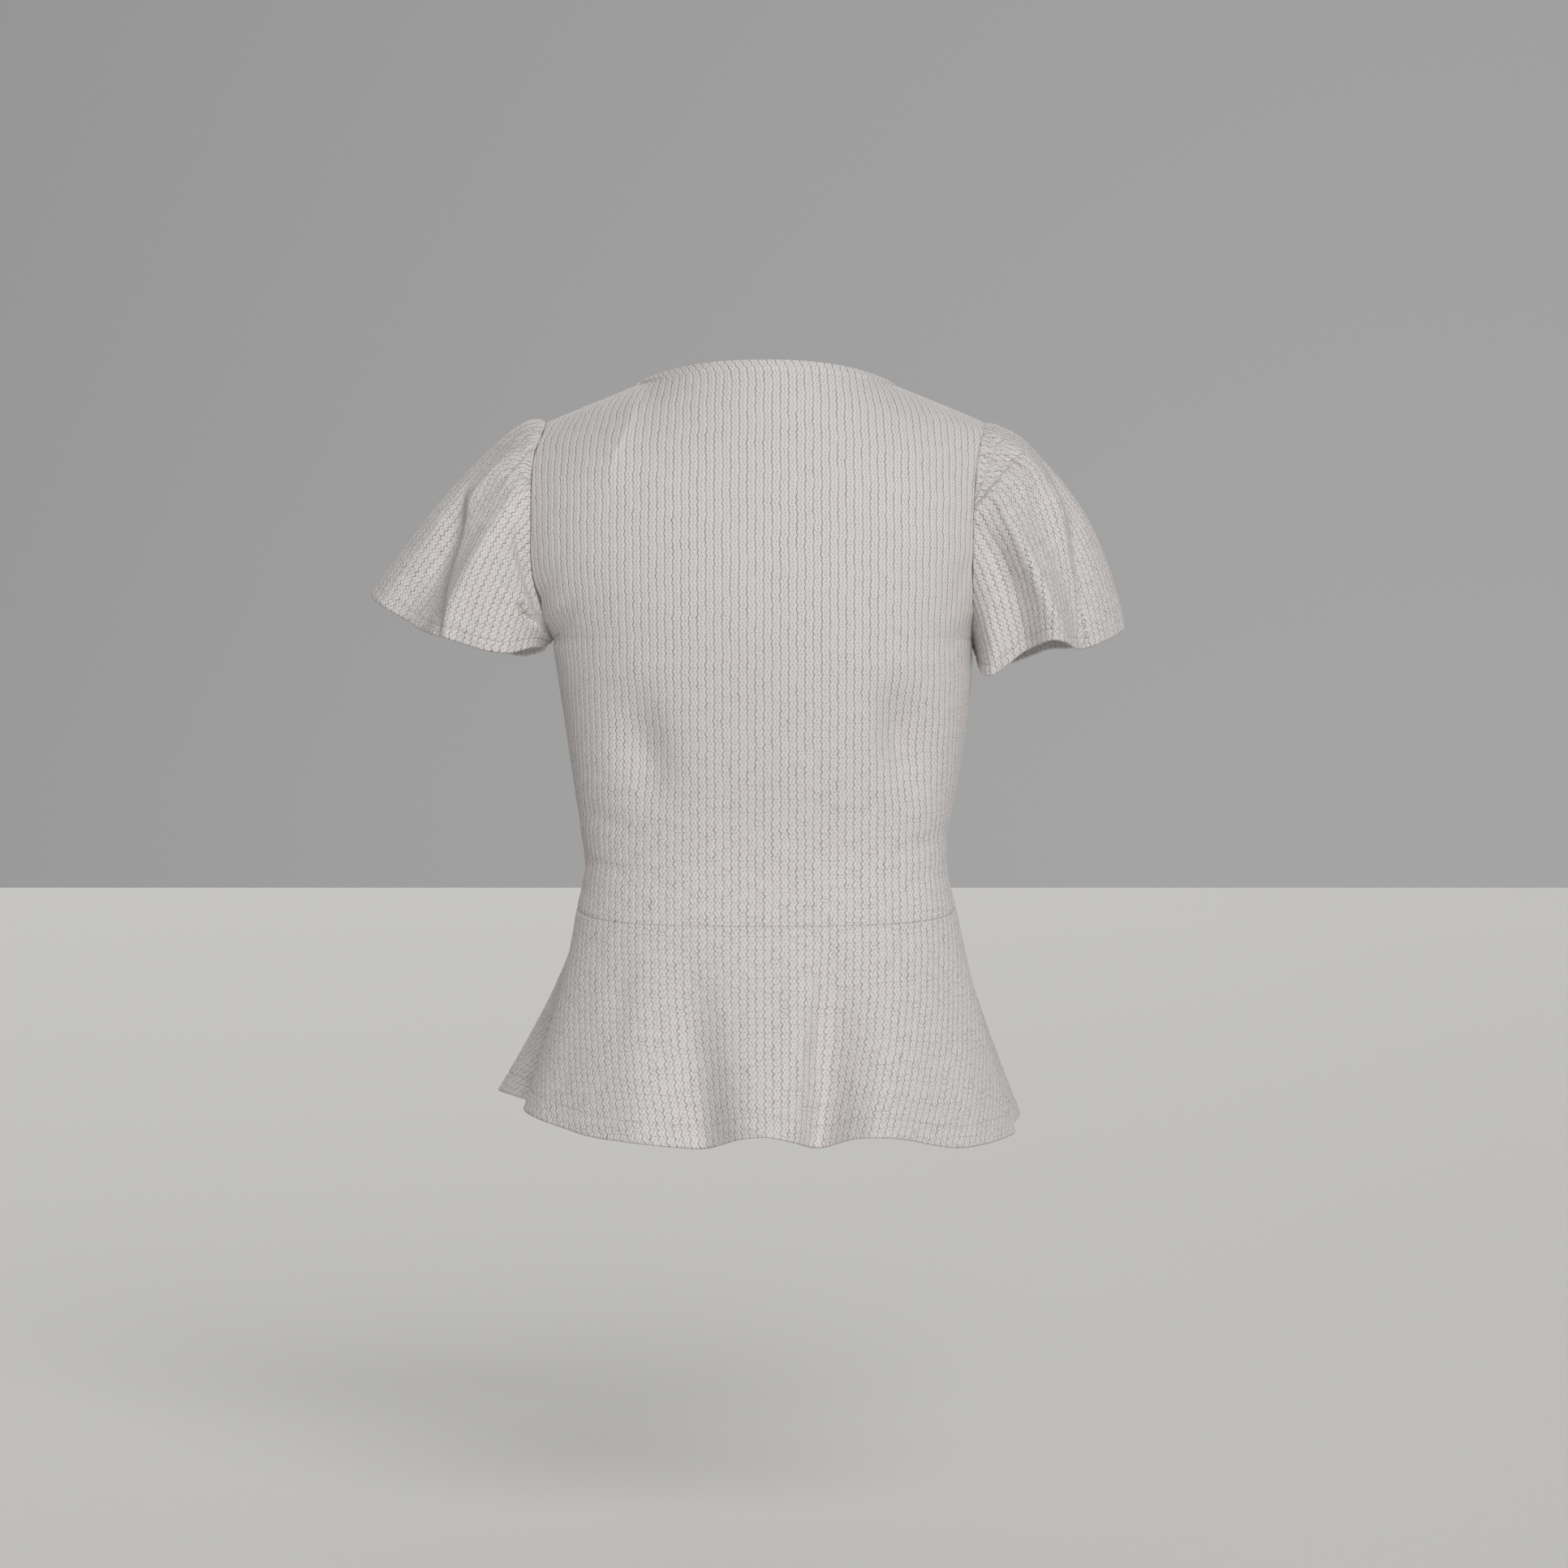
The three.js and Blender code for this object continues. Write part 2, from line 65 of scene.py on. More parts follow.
BACK_TOP = {"rise": 11.5, "roll": 140, "bend": 1.6}
FRONT_TOP = {"rise": -70, "roll": 150, "bend": 1.5}

UNDERARM_Z = WAIST_SIDE_Z + (SHOULDER_TIP_Z - WAIST_SIDE_Z) * UNDERARM_UP
ARMHOLE_MIDDLE_Z = (SHOULDER_TIP_Z + UNDERARM_Z) / 2
ARMHOLE_HALF_HEIGHT = (SHOULDER_TIP_Z - UNDERARM_Z) / 2

# Sections of the bodice: height, half widths at the left and right edges, and the back and front depths
SECTION_COLUMNS = ("z", "left", "right", "back", "front")
SECTIONS = np.array([
    (-372, 134, 136, 82, 96),
    (-347, 126, 127.5, 72, 89),
    (-321, 121.3, 122, 68, 88),
    (-292, 124.6, 123.6, 71, 93),
    (-260, 129.2, 130, 79, 101),
    (-208, 137, 137, 91, 112),
    (-169, 143.4, 138.8, 98, 113),
    (-130, 154, 138, 100, 108),
    (-90, 155.4, 138.3, 99, 99),
    (-50, 154, 141.5, 96, 90),
    (-23.5, 147.3, 147.3, 93, 84),
    (20, 147.3, 147.3, 92, 82),
])

# Hem of the peplum, x, y, z: one row for each fold crest, fold trough or turn between them
BACK_HEM = np.array([
    (-143, 0, -484), (-153, -8, -483), (-161, -25, -482), (-153, -46, -485.5), (-135, -64, -490.5),
    (-114, -82, -495.5), (-84, -99, -498.5), (-60, -98, -501), (-39, -93, -502.5), (-17, -115, -495),
    (1, -120, -493), (19, -113, -497), (35, -94, -502), (57, -110, -495), (73, -117, -493.5),
    (91, -106, -495.5), (123, -78, -503), (146, -54, -502.5), (166, -20, -498.5), (164, -6, -497.5),
    (158, 2, -497),
])
FRONT_HEM = np.array([
    (-143, 0, -484), (-158, 10, -479), (-179, 33, -474), (-180, 56, -475), (-158, 74, -483),
    (-128, 86, -493), (-98, 110, -491), (-77, 111, -492), (-52, 98, -500), (-25, 114, -493),
    (-4, 121, -490), (17, 115, -494), (42, 100, -500), (68, 116, -492), (90, 114, -491),
    (116, 90, -499), (146, 74, -497), (167, 54, -490), (173, 34, -489), (167, 12, -494),
    (158, 2, -497),
])
PLAIN_HEM = {"left": 150, "right": 158, "depth": 100}
FLUTE_START_POWER = 1.25

# Sleeve hems from the outer tip round the back to the underarm and back along the front:
# share of the way round, distance out from the middle, y, z
LEFT_SLEEVE_HEM = np.array([
    (0, 265, 4, -138), (0.045, 258, -14, -145), (0.095, 241, -22, -155), (0.145, 228, -38, -163),
    (0.19, 218, -60, -167), (0.24, 205, -63, -171), (0.3, 186, -57, -177), (0.36, 169, -52, -179),
    (0.42, 155, -38, -175), (0.465, 149.5, -18, -174.5), (0.5, 148, 0, -174), (0.56, 151, 26, -176),
    (0.64, 168, 49, -178), (0.72, 190, 52, -172), (0.78, 206, 68, -165), (0.84, 224, 56, -160),
    (0.9, 240, 38, -153), (0.955, 259, 26, -143),
])
RIGHT_SLEEVE_HEM = np.array([
    (0, 241, 6, -159), (0.045, 238, -10, -164), (0.09, 224, -28, -171), (0.135, 209, -40, -176),
    (0.175, 198, -58, -172), (0.22, 187, -62, -171), (0.27, 173, -42, -177), (0.32, 162, -44, -186),
    (0.37, 151, -52, -193), (0.42, 144, -42, -193), (0.46, 142.5, -20, -189), (0.5, 143, 0, -187),
    (0.57, 147, 28, -186), (0.65, 158, 50, -186), (0.72, 176, 50, -180), (0.79, 194, 66, -173),
    (0.86, 211, 52, -172), (0.93, 229, 36, -166),
])
LEFT_CAP = {"out": -26, "up": 65}
RIGHT_CAP = {"out": 25, "up": 41}
CAP_SPREAD = 2.2
BELL = {"out": 10, "side": 11}
# Gathers at the armhole seam: place of the crest round it, height, width and how far it reaches
CAP_GATHERS = (
    (0.028, 3.2, 0.022, 0.5), (0.075, 3.4, 0.02, 0.62), (0.125, 2.6, 0.02, 0.45), (0.175, 2, 0.02, 0.35),
    (0.83, 2.2, 0.02, 0.4), (0.885, 3, 0.02, 0.55), (0.94, 3.4, 0.022, 0.6),
)
GATHER_RISE_POWER = 0.6
GATHER_OUT_SHARE = 0.35

# The knit: ribs that stand up from the cloth, and how much they wander
RIB_PITCH = 5.4
RIB_HEIGHT = 0.14
RIB_WANDER = 0.26
RIB_WANDER_LENGTHS = (31, 12.7)
RIB_WANDER_SPREADS = (40, 9)
CELL_LENGTH = 4.6
LOOSE_HEIGHT = 400
DASH_LENGTH = 2.3
# Flat cloth that a crimped sleeve takes up for each millimetre of its length
SLEEVE_CRIMP = 1.25
# Angle of the sleeves' ribs from upright, along the outer fold of each sleeve
LEFT_GRAIN = np.radians(45.7)
RIGHT_GRAIN = np.radians(35)
GRAIN_LEVELS = 150

# Seams pull the cloth in over about a millimetre, and stitched hems press a line into it
SEAM_DIP = 0.95
SEAM_REACH = 0.95
# A face whose flat places lie further apart than this crosses a sleeve's underarm seam
SEAM_JUMP = 90
TINY = 1e-6
NECK_BAND = 8
NECK_BAND_RISES = (0.45, 1.5)
NECK_BAND_DIP = 0.4
NECK_BAND_SLANTS = (0.9, 0.15)
PEPLUM_HEM_STITCH = 13
SLEEVE_HEM_STITCH = 6.5
STITCH_DIP = 0.55
STITCH_DIP_REACH = 0.8
STITCH_PITCH = 3.1
STITCH_SIZE = (2.3, 0.3)
HEM_WALL_EASE = 2
# Half of the short run along a seam from which the way of each stitch is taken
STITCH_WAY_STEP = 0.5
# Small tack stitches below the back neck edge, as seen from behind: x, z and whether each is upright
NECK_TACKS = np.array((
    (-26.2, 0.2, 0), (-23.2, -0.3, 0), (-24.8, -4.2, 1), (-24.6, -8.4, 1), (-24.3, -12.4, 1),
    (-25.4, -15.8, 0), (-22.9, -16.1, 0), (24.3, -15.3, 0), (26.6, -15.8, 0),
))
TACK_SIZE = (1.9, 0.26)

# Rows and columns of the fine grids, and the share of the way down where the close rows of a hem begin
BODICE_LOWER_ROWS = 128
BODICE_ARMHOLE_ROWS = 104
BODICE_COLUMNS = 337
PEPLUM_ROWS = 84
PEPLUM_HEM_ROWS = 36
PEPLUM_HEM_SHARE = 0.87
PEPLUM_COLUMNS = 361
SLEEVE_ROWS = 92
SLEEVE_HEM_ROWS = 26
SLEEVE_HEM_SHARE = 0.9
SLEEVE_COLUMNS = 361
SLEEVE_FACE_BLEND = 12
SLEEVE_TURN_BLEND = 0.04

# Folds as seen from behind, on the plane of the side seams: x, z along each one, its half width,
# its height (a trough is below nothing) and whether it starts at full height at a seam
EYE = np.array((12.5, -3000, -266))
BACK_BODICE_FOLDS = (
    (((-152.6, -142.2), (-146, -128), (-138.4, -116.4)), 4.5, -1.7, True),
    (((-141.2, -168.4), (-134, -156), (-127.5, -143.3)), 4.5, -1.9, True),
    (((-147, -156), (-139, -143), (-130, -128)), 4, 1.1, True),
    (((135, -121), (129, -138), (123.7, -153.7)), 5.5, -1, True),
    (((138, -160), (126, -172), (115, -180)), 5, -0.9, True),
    (((-147.7, -30.5), (-134, -23), (-121.5, -17.4)), 3, -0.9, True),
    (((-90, -188), (-85, -235), (-76, -270), (-70, -298)), 17, -8.5, False),
    (((83, -184), (92, -226), (97, -262), (98, -290)), 16, -9.5, False),
    (((-118, -286), (-92, -296), (-60, -300)), 7, -1.2, True),
    (((-121, -318), (-90, -327), (-52, -331)), 6, -1.2, True),
    (((120, -300), (90, -312), (62, -316)), 7, -1.2, True),
    (((122, -322), (96, -333), (66, -337)), 5, -0.9, True),
    (((-30, -322), (0, -330), (34, -326)), 8, -0.9, False),
)
FRONT_BODICE_FOLDS = (
    (((-150, -146), (-130, -140), (-104, -128)), 5, -1.7, True),
    (((-143, -168), (-118, -166), (-92, -158)), 5.5, -1.6, True),
    (((135, -140), (118, -136), (96, -126)), 5, -1.4, True),
    (((138, -168), (116, -165), (90, -160)), 6, -1.7, True),
    (((-60, -196), (-56, -240), (-50, -300)), 18, -2.8, False),
    (((58, -198), (56, -244), (48, -296)), 18, -2.5, False),
    (((-120, -300), (-88, -312), (-50, -316)), 7, -1.2, True),
    (((-123, -326), (-96, -334), (-64, -338)), 5, -0.9, True),
    (((121, -306), (92, -316), (58, -319)), 7, -1.1, True),
    (((-20, -118), (0, -150), (6, -190)), 16, -1.8, False),
)
BACK_PEPLUM_FOLDS = (
    (((16, -358), (19, -400), (17, -440), (12, -492)), 7, 2, False),
    (((43, -364), (42, -400), (38, -440), (36, -480)), 8, -3.6, False),
    (((-92, -366), (-98, -410), (-104, -455)), 10, -1.6, False),
    (((116, -362), (126, -400), (134, -450)), 8, -1.6, False),
)
FRONT_PEPLUM_FOLDS = (
    (((-60, -362), (-66, -400), (-74, -450)), 8, 1.4, False),
    (((52, -364), (60, -410), (66, -455)), 8, -1.6, False),
    (((118, -362), (128, -400), (136, -440)), 8, -1.4, False),
)
LEFT_SLEEVE_BACK_FOLDS = (
    (((-156, -27), (-163.8, -33.6), (-177.1, -45), (-191.6, -60.6), (-200, -73)), 1.5, -4.5, False),
    (((-198, -72), (-209, -96), (-222, -126), (-236, -156)), 7, -4, False),
    (((-156, -42.1), (-163.8, -46.6), (-174.9, -59.9), (-182, -72)), 1.7, -3, True),
    (((-157.5, -38.5), (-166, -43), (-177, -55), (-184, -68)), 2.4, 1.5, True),
    (((-164.9, -143.4), (-162.2, -151), (-157.8, -155.5), (-152.7, -159)), 2.2, -4.5, False),
    (((-150, -27), (-156, -27.5), (-163, -33)), 1.8, -1.6, True),
)
LEFT_SLEEVE_FRONT_FOLDS = (
    (((-156, -48), (-168, -66), (-178, -96)), 2.6, -2.2, True),
    (((-196, -76), (-212, -104), (-228, -132)), 8, -2.6, False),
    (((-166, -104), (-162, -128), (-154, -150)), 4, -2.4, False),
)
RIGHT_SLEEVE_BACK_FOLDS = (
    (((149, -52), (162.7, -86.9), (173, -107.5), (183.4, -130.5), (204, -176)), 4.6, 5, False),
    (((163, -28), (175.4, -39.8), (185.7, -52.4), (192.6, -63.9), (197.1, -75.4), (199.5, -89.2),
      (204, -116)), 3.4, 2, False),
    (((172, -34), (189.1, -54), (198.3, -68), (206.3, -82.3), (212, -98)), 5, -3, False),
    (((170, -52), (173.5, -62), (174.4, -75.4), (174.4, -98)), 3, 1.6, False),
    (((154.7, -55.9), (157.6, -70.8), (163.5, -84.6), (168, -94)), 2.2, -2.4, False),
    (((146.7, -41), (152.4, -45.6), (158.2, -50.7), (163, -56)), 1.5, -2.8, True),
    (((148, -30), (155, -35), (162, -42)), 1.6, -2, True),
    (((144, -84), (150, -100), (157, -116), (164, -136), (172, -152)), 8, -4.5, False),
)
RIGHT_SLEEVE_FRONT_FOLDS = (
    (((147, -30), (164, -44), (184, -66), (198, -100)), 3.4, -3, True),
    (((146, -52), (156, -74), (166, -106)), 3, -2.4, True),
    (((160, -60), (176, -96), (190, -140)), 5, 2.4, False),
    (((152, -112), (158, -140), (164, -160)), 6, -2.4, False),
)
# Lapped folds: the line of the fold's edge from the top down, then reach and height of the cloth on
# its -X and on its +X side, the share of them left at the lower end, whether the ribs between it
# and the armhole turn upright (1), back (-1) or not (0), and how many ribs the fold hides
LAP_SHARPNESS = 1.7
LAP_START = 0.28
LAP_SEAM_EASE = 9
LAP_TURN = np.radians(18)
LEFT_SLEEVE_BACK_LAPS = (
    (((-153, -24.5), (-158.2, -26.5), (-163.8, -33.2), (-177.1, -44.4), (-191.6, -60), (-198.3, -68.8),
      (-200.4, -73), (-204.4, -91.1), (-208.3, -106.7), (-213.9, -128.9), (-219, -170)),
     (15, -7), (28, 17), 0.35, 1, 11),
    (((-172, -84), (-170, -97), (-168.2, -109), (-164.4, -124), (-159.4, -139), (-152.2, -155),
      (-147.5, -163)), (15, 4), (8, -5), 0.7, -1, 0),
)
LEFT_SLEEVE_FRONT_LAPS = (
    (((-153, -28), (-164, -38), (-182, -56), (-198, -84), (-206, -120), (-211, -165)),
     (14, -2), (22, 3.4), 0.4, 1, 0),
)
RIGHT_SLEEVE_BACK_LAPS = (
    (((149, -26), (160, -29), (176, -38), (187.5, -52), (194.5, -63.5), (199, -75), (201.5, -89),
      (205, -110), (209, -130), (214, -168)), (17, 5), (13, -8), 0.15, 1, 7),
    (((151, -41), (158, -43), (163.9, -46.6), (171, -52.5), (178, -60), (181, -70), (182, -84)),
     (10, -3.5), (8, 2.5), 0, 0, 0),
)
RIGHT_SLEEVE_FRONT_LAPS = ()


def mix(a, b, share):
    """The value a share of the way from a to b."""
    return a + (b - a) * share


def smooth(value):
    """An S-shaped step from 0 to 1: three times the square less twice the cube."""
    held = np.clip(value, 0, 1)
    return held * held * (3 - 2 * held)


def bell(distance, middle, reach):
    """A bell curve of a distance round a middle value."""
    return np.exp(-((distance - middle) / reach) ** 2)


def cubic(a, b, slope_a, slope_b, share):
    """The value a share of the way along a cubic from a to b with the given slopes at its ends."""
    s2 = share * share
    s3 = s2 * share
    return (
        (2 * s3 - 3 * s2 + 1) * a + (s3 - 2 * s2 + share) * slope_a
        + (3 * s2 - 2 * s3) * b + (s3 - s2) * slope_b
    )


def through(before, a, b, after, share):
    """Cubic from a to b whose slopes there are half the rise between the two neighbours of each."""
    return cubic(a, b, (b - before) / 2, (after - a) / 2, share)


def section_value(z, column):
    """A column of the sections at each height, on cubics whose slopes join the neighbouring rows."""
    heights = SECTIONS[:, 0]
    values = SECTIONS[:, SECTION_COLUMNS.index(column)]
    row = np.searchsorted(heights[1:-1], z, side="left")
    before = np.maximum(row - 1, 0)
    after = np.minimum(row + 2, len(heights) - 1)
    run = heights[row + 1] - heights[row]
    slope_a = (values[row + 1] - values[before]) / (heights[row + 1] - heights[before]) * run
    slope_b = (values[after] - values[row]) / (heights[after] - heights[row]) * run
    share = np.clip((z - heights[row]) / run, 0, 1)
    return cubic(values[row], values[row + 1], slope_a, slope_b, share)


def side_value(across, z):
    """Half width of the bodice on the side where each place lies."""
    return np.where(across < 0, section_value(z, "left"), section_value(z, "right"))


def ellipse_depth(z):
    """Half depth of the armhole at a height: an upright ellipse in side view."""
    share = np.clip((z - ARMHOLE_MIDDLE_Z) / ARMHOLE_HALF_HEIGHT, -1, 1)
    return ARMHOLE_DEPTH * np.sqrt(1 - share * share)


def waist_z(across, sag):
    """Height of the waist seam: it sags most in the middle and rises to the side seams."""
    return WAIST_SIDE_Z - sag * (1 - np.abs(across) ** WAIST_SAG_POWER)


def section_point(across, z, face):
    """Side and depth of a flattened oval, cut off where the armhole or the side seam begins.
    Both are powers of the sine and cosine of an angle that grows evenly across the panel."""
    depth = section_value(z, "back" if face < 0 else "front")
    edge = np.where(z > ARMHOLE_MIDDLE_Z, ARMHOLE_DEPTH, ellipse_depth(z))
    cut = np.arccos((edge / depth) ** (1 / SECTION_POWER))
    angle = np.abs(across) * cut
    reach = (np.sin(angle) / np.sin(cut)) ** SECTION_POWER
    return np.sign(across) * side_value(across, z) * reach, depth * np.cos(angle) ** SECTION_POWER


def bodice_surface(across, up, face):
    """Plain sections below; above them the depth shrinks to nothing on a power curve, so that the
    cloth rolls over the shoulder or up to the neck edge."""
    top = BACK_TOP if face < 0 else FRONT_TOP
    sag = WAIST_BACK_SAG if face < 0 else WAIST_FRONT_SAG
    size = np.abs(across)
    along_neck = np.clip(size / NECK_SHARE, 0, 1)
    along_shoulder = np.clip((size - NECK_SHARE) / (1 - NECK_SHARE), 0, 1)
    turn = along_neck * np.pi / 2
    reach = along_neck if face < 0 else mix(np.sin(turn), along_neck, FRONT_CORNER_SHARE)
    top_x = mix(reach * NECK_HALF_WIDTH, SHOULDER_HALF_WIDTH, along_shoulder)
    neck_curve = 1 - along_neck ** BACK_RISE_POWER if face < 0 else np.cos(turn)
    seam_z = mix(SHOULDER_NECK_Z, SHOULDER_TIP_Z, along_shoulder)
    edge_z = seam_z + top["rise"] * neck_curve
    ridge_z = seam_z + NECK_CLIMB * (1 - reach * reach) ** NECK_CLIMB_POWER
    z = mix(waist_z(across, sag) + SEAM_GAP / 2, edge_z, up)
    side, depth = section_point(across, z, face)
    roll = mix(top["roll"], ARMHOLE_HALF_HEIGHT, reach * reach)
    bend = mix(top["bend"], SHOULDER_BEND, reach * reach)
    below = np.clip(1 - (ridge_z - z) / roll, 0, 1)
    depth = depth * (1 - below ** bend) ** (1 / bend)
    spread = smooth((z - SPREAD_TOP_Z) / SPREAD_DEPTH + 1)
    widened = np.sign(across) * top_x * side_value(across, z) / SHOULDER_HALF_WIDTH
    return np.stack([mix(side, widened, spread), face * (depth + SEAM_GAP / 2), z], axis=-1)


def peplum_surface(across, down, face):
    """From the waist seam out to a plain oval at the hem, with the hem's own flutes added on a power
    of the way down, so that they deepen towards it."""
    rows = BACK_HEM if face < 0 else FRONT_HEM
    seam_z = waist_z(across, WAIST_BACK_SAG if face < 0 else WAIST_FRONT_SAG)
    seam_x, seam_depth = section_point(across, seam_z, face)
    place = (across + 1) / 2 * (len(rows) - 1)
    row = np.minimum(place.astype(int), len(rows) - 2)
    near = [rows[np.clip(row + step, 0, len(rows) - 1)] for step in (-1, 0, 1, 2)]
    hem = through(*near, (place - row)[..., None])
    angle = across * np.pi / 2
    half = np.where(across < 0, PLAIN_HEM["left"], PLAIN_HEM["right"])
    plain_x = np.sign(across) * half * np.abs(np.sin(angle)) ** SECTION_POWER
    plain_y = face * PLAIN_HEM["depth"] * np.abs(np.cos(angle)) ** SECTION_POWER
    flute = down ** FLUTE_START_POWER
    x = mix(seam_x, plain_x, down) + (hem[..., 0] - plain_x) * flute
    y = mix(face * seam_depth, plain_y, down) + (hem[..., 1] - plain_y) * flute
    z = mix(seam_z - SEAM_GAP / 2, hem[..., 2], down)
    return np.stack([x, y + face * SEAM_GAP / 2, z], axis=-1)


def sleeve_surface(turn, along, side, hem_rows, rise):
    """Curve of three points from the armhole ellipse over a raised middle to the hem, which itself is
    a closed smooth curve; the cap's gathers are bells round the seam that rise and die down the sleeve."""
    share = turn - np.floor(turn)
    angle = share * 2 * np.pi
    starts = hem_rows[:, 0]
    count = len(hem_rows)
    row = np.searchsorted(starts, share, side="right") - 1
    end = np.where(row == count - 1, 1, starts[(row + 1) % count])
    near = [hem_rows[(row + step) % count][..., 1:] for step in (-1, 0, 1, 2)]
    hem = through(*near, ((share - starts[row]) / (end - starts[row]))[..., None])
    seam_z = ARMHOLE_MIDDLE_Z + ARMHOLE_HALF_HEIGHT * np.cos(angle)
    seam_out = section_value(seam_z, "left" if side < 0 else "right") - SLEEVE_TUCK
    seam = np.stack([seam_out, -ARMHOLE_DEPTH * np.sin(angle), seam_z], axis=-1)
    cap = ((1 + np.cos(angle)) / 2) ** CAP_SPREAD
    off_underarm = np.abs(np.sin(angle))
    push = np.stack([rise["out"] * cap + BELL["out"] * (1 - cap) * off_underarm,
                     -BELL["side"] * np.sin(angle), rise["up"] * cap], axis=-1)
    middle = (seam + hem) / 2 + push
    t = along[..., None]
    points = (1 - t) ** 2 * seam + 2 * t * (1 - t) * middle + t * t * hem
    for place, height, width, reach in CAP_GATHERS:
        apart = np.abs(share - place)
        crest = bell(np.minimum(apart, 1 - apart), 0, width)
        grown = np.sin(np.pi * np.clip(along / reach, 0, 1) ** GATHER_RISE_POWER)
        lift = height * crest * grown
        points = points + lift[..., None] * np.stack(
            [np.full_like(angle, GATHER_OUT_SHARE), -np.sin(angle), np.cos(angle)], axis=-1)
    return points * np.array((side, 1, 1))


def outward_normals(points, sign, wraps):
    """Unit cross product of the slopes across and along the grid, all on the outer side."""
    if wraps:
        ring = np.concatenate([points[:, -2:-1], points, points[:, 1:2]], axis=1)
        across = (ring[:, 2:] - ring[:, :-2]) / 2
    else:
        across = np.gradient(points, axis=1)
    along = np.gradient(points, axis=0)
    normals = np.cross(across, along) * sign
    length = np.linalg.norm(normals, axis=-1, keepdims=True)
    return normals / np.maximum(length, TINY)


def lengths(points, axis):
    """Distance walked along each row or column of the grid from its first point."""
    steps = np.linalg.norm(np.diff(points, axis=axis), axis=-1)
    walked = np.cumsum(steps, axis=axis)
    return np.insert(walked, 0, 0, axis=axis)


def seen_places(points, face):
    """Sideways and upright places: on the back as seen from the camera on the plane of the side
    seams, and on the front as they are."""
    if face > 0:
        return points[..., [0, 2]]
    ratio = EYE[1] / (EYE[1] - points[..., 1])
    return EYE[[0, 2]] + (points[..., [0, 2]] - EYE[[0, 2]]) * ratio[..., None]


def beside_line(place, line):
    """Distance of each place from a line of points that runs down, below nothing on its -X side, and
    the share of the line's length walked to the nearest point."""
    line = np.array(line)
    runs = np.linalg.norm(np.diff(line, axis=0), axis=1)
    nearest = np.full(place.shape[:-1], np.inf)
    signed = np.zeros(place.shape[:-1])
    along = np.zeros(place.shape[:-1])
    walked = 0
    for start, end, run in zip(line[:-1], line[1:], runs):
        way = end - start
        share = np.clip((place - start) @ way / run ** 2, 0, 1)
        apart = place - (start + share[..., None] * way)
        gap = np.linalg.norm(apart, axis=-1)
        closer = gap < nearest
        side = np.sign(way[0] * (place[..., 1] - start[1]) - way[1] * (place[..., 0] - start[0]))
        nearest = np.where(closer, gap, nearest)
        signed = np.where(closer, side * gap, signed)
        along = np.where(closer, (walked + share * run) / runs.sum(), along)
        walked += run
    return signed, along


def fold_relief(place, folds):
    """Soft troughs and ridges. Each is a bell across its line, and rises and dies away along it as a
    half sine, or from full height at a seam as a quarter of a cosine, more slowly where it is wide."""
    total = np.zeros(place.shape[:-1])
    for line, width, height, from_seam in folds:
        signed, along = beside_line(place, line)
        fade = np.cos(along * np.pi / 2) if from_seam else np.sin(along * np.pi)
        slowness = FADE_POWER + width / FADE_WIDTH
        total += height * bell(signed, 0, width) * np.maximum(fade, 0) ** slowness
    return total


def lap_relief(place, laps, side, grain):
    """Folds whose edge laps over the cloth beside it: a step across the line, on a hyperbolic tangent,
    that falls evenly to nothing on both sides. Also how far the ribs on its armhole side shift: by the
    whole ribs that the step takes up, and by the turn of the grain there."""
    total = np.zeros(place.shape[:-1])
    shift = np.zeros(place.shape[:-1])
    swing = np.array((side * (np.cos(grain) - np.cos(grain - LAP_TURN)),
                      np.sin(grain) - np.sin(grain - LAP_TURN)))
    for line, minus, plus, left_at_end, way, ribs in laps:
        signed, along = beside_line(place, line)
        step = np.tanh(signed / LAP_SHARPNESS)
        reach, height = (np.where(signed < 0, *pair) for pair in zip(minus, plus))
        grown = smooth(along / LAP_START)
        fade = np.maximum(1 - np.abs(signed) / reach, 0) * mix(1, left_at_end, smooth(along * 2 - 1))
        total += height * np.abs(step) * grown * fade
        turned = way * ((place - np.array(line[0])) @ swing)
        shift += grown * (1 - side * step) / 2 * (ribs * RIB_PITCH + turned)
    return total, shift


def rib_relief(flat):
    """Ribs as a cosine across the cloth, lowest in the groove between two ribs."""
    return -RIB_HEIGHT * np.cos(2 * np.pi * flat[..., 0] / RIB_PITCH)


def wandering(flat):
    """The cloth's own places with the ribs shifted sideways by two slow sines, as a worn knit is."""
    u = flat[..., 0]
    v = flat[..., 1]
    slow, quick = (np.sin(2 * np.pi * v / length + u / spread)
                   for length, spread in zip(RIB_WANDER_LENGTHS, RIB_WANDER_SPREADS))
    return np.stack([u + RIB_WANDER * (slow + quick / 2), v], axis=-1)


def near_indices(count, kept):
    """For each of count places, which of the kept ones is nearest to it."""
    middles = (kept[:-1] + kept[1:]) / 2
    return np.searchsorted(middles, np.arange(count))


def strip(line, mates):
    """Quads and triangles between a fine line of points and the coarse points that each belongs to."""
    quads = np.stack([line[:-1], line[1:], mates[1:], mates[:-1]], axis=1)
    single = mates[:-1] == mates[1:]
    return quads[~single], quads[single][:, :3]


def grid_quads(grid):
    """The four corners of each cell of a grid of point numbers."""
    return np.stack([grid[:-1, :-1], grid[:-1, 1:], grid[1:, 1:], grid[1:, :-1]], axis=-1).reshape(-1, 4)


def closing_places(flat, width):
    """Flat places for faces that close a ring: its first point has the place of its last column."""
    return np.concatenate([flat[..., -1:, :], flat[..., 1:width, :]], axis=-2).reshape(-1, 2)


def stand(name, data):
    """Puts an object with the given data into the scene."""
    thing = bpy.data.objects.new(name, data)
    bpy.context.scene.collection.objects.link(thing)
    return thing


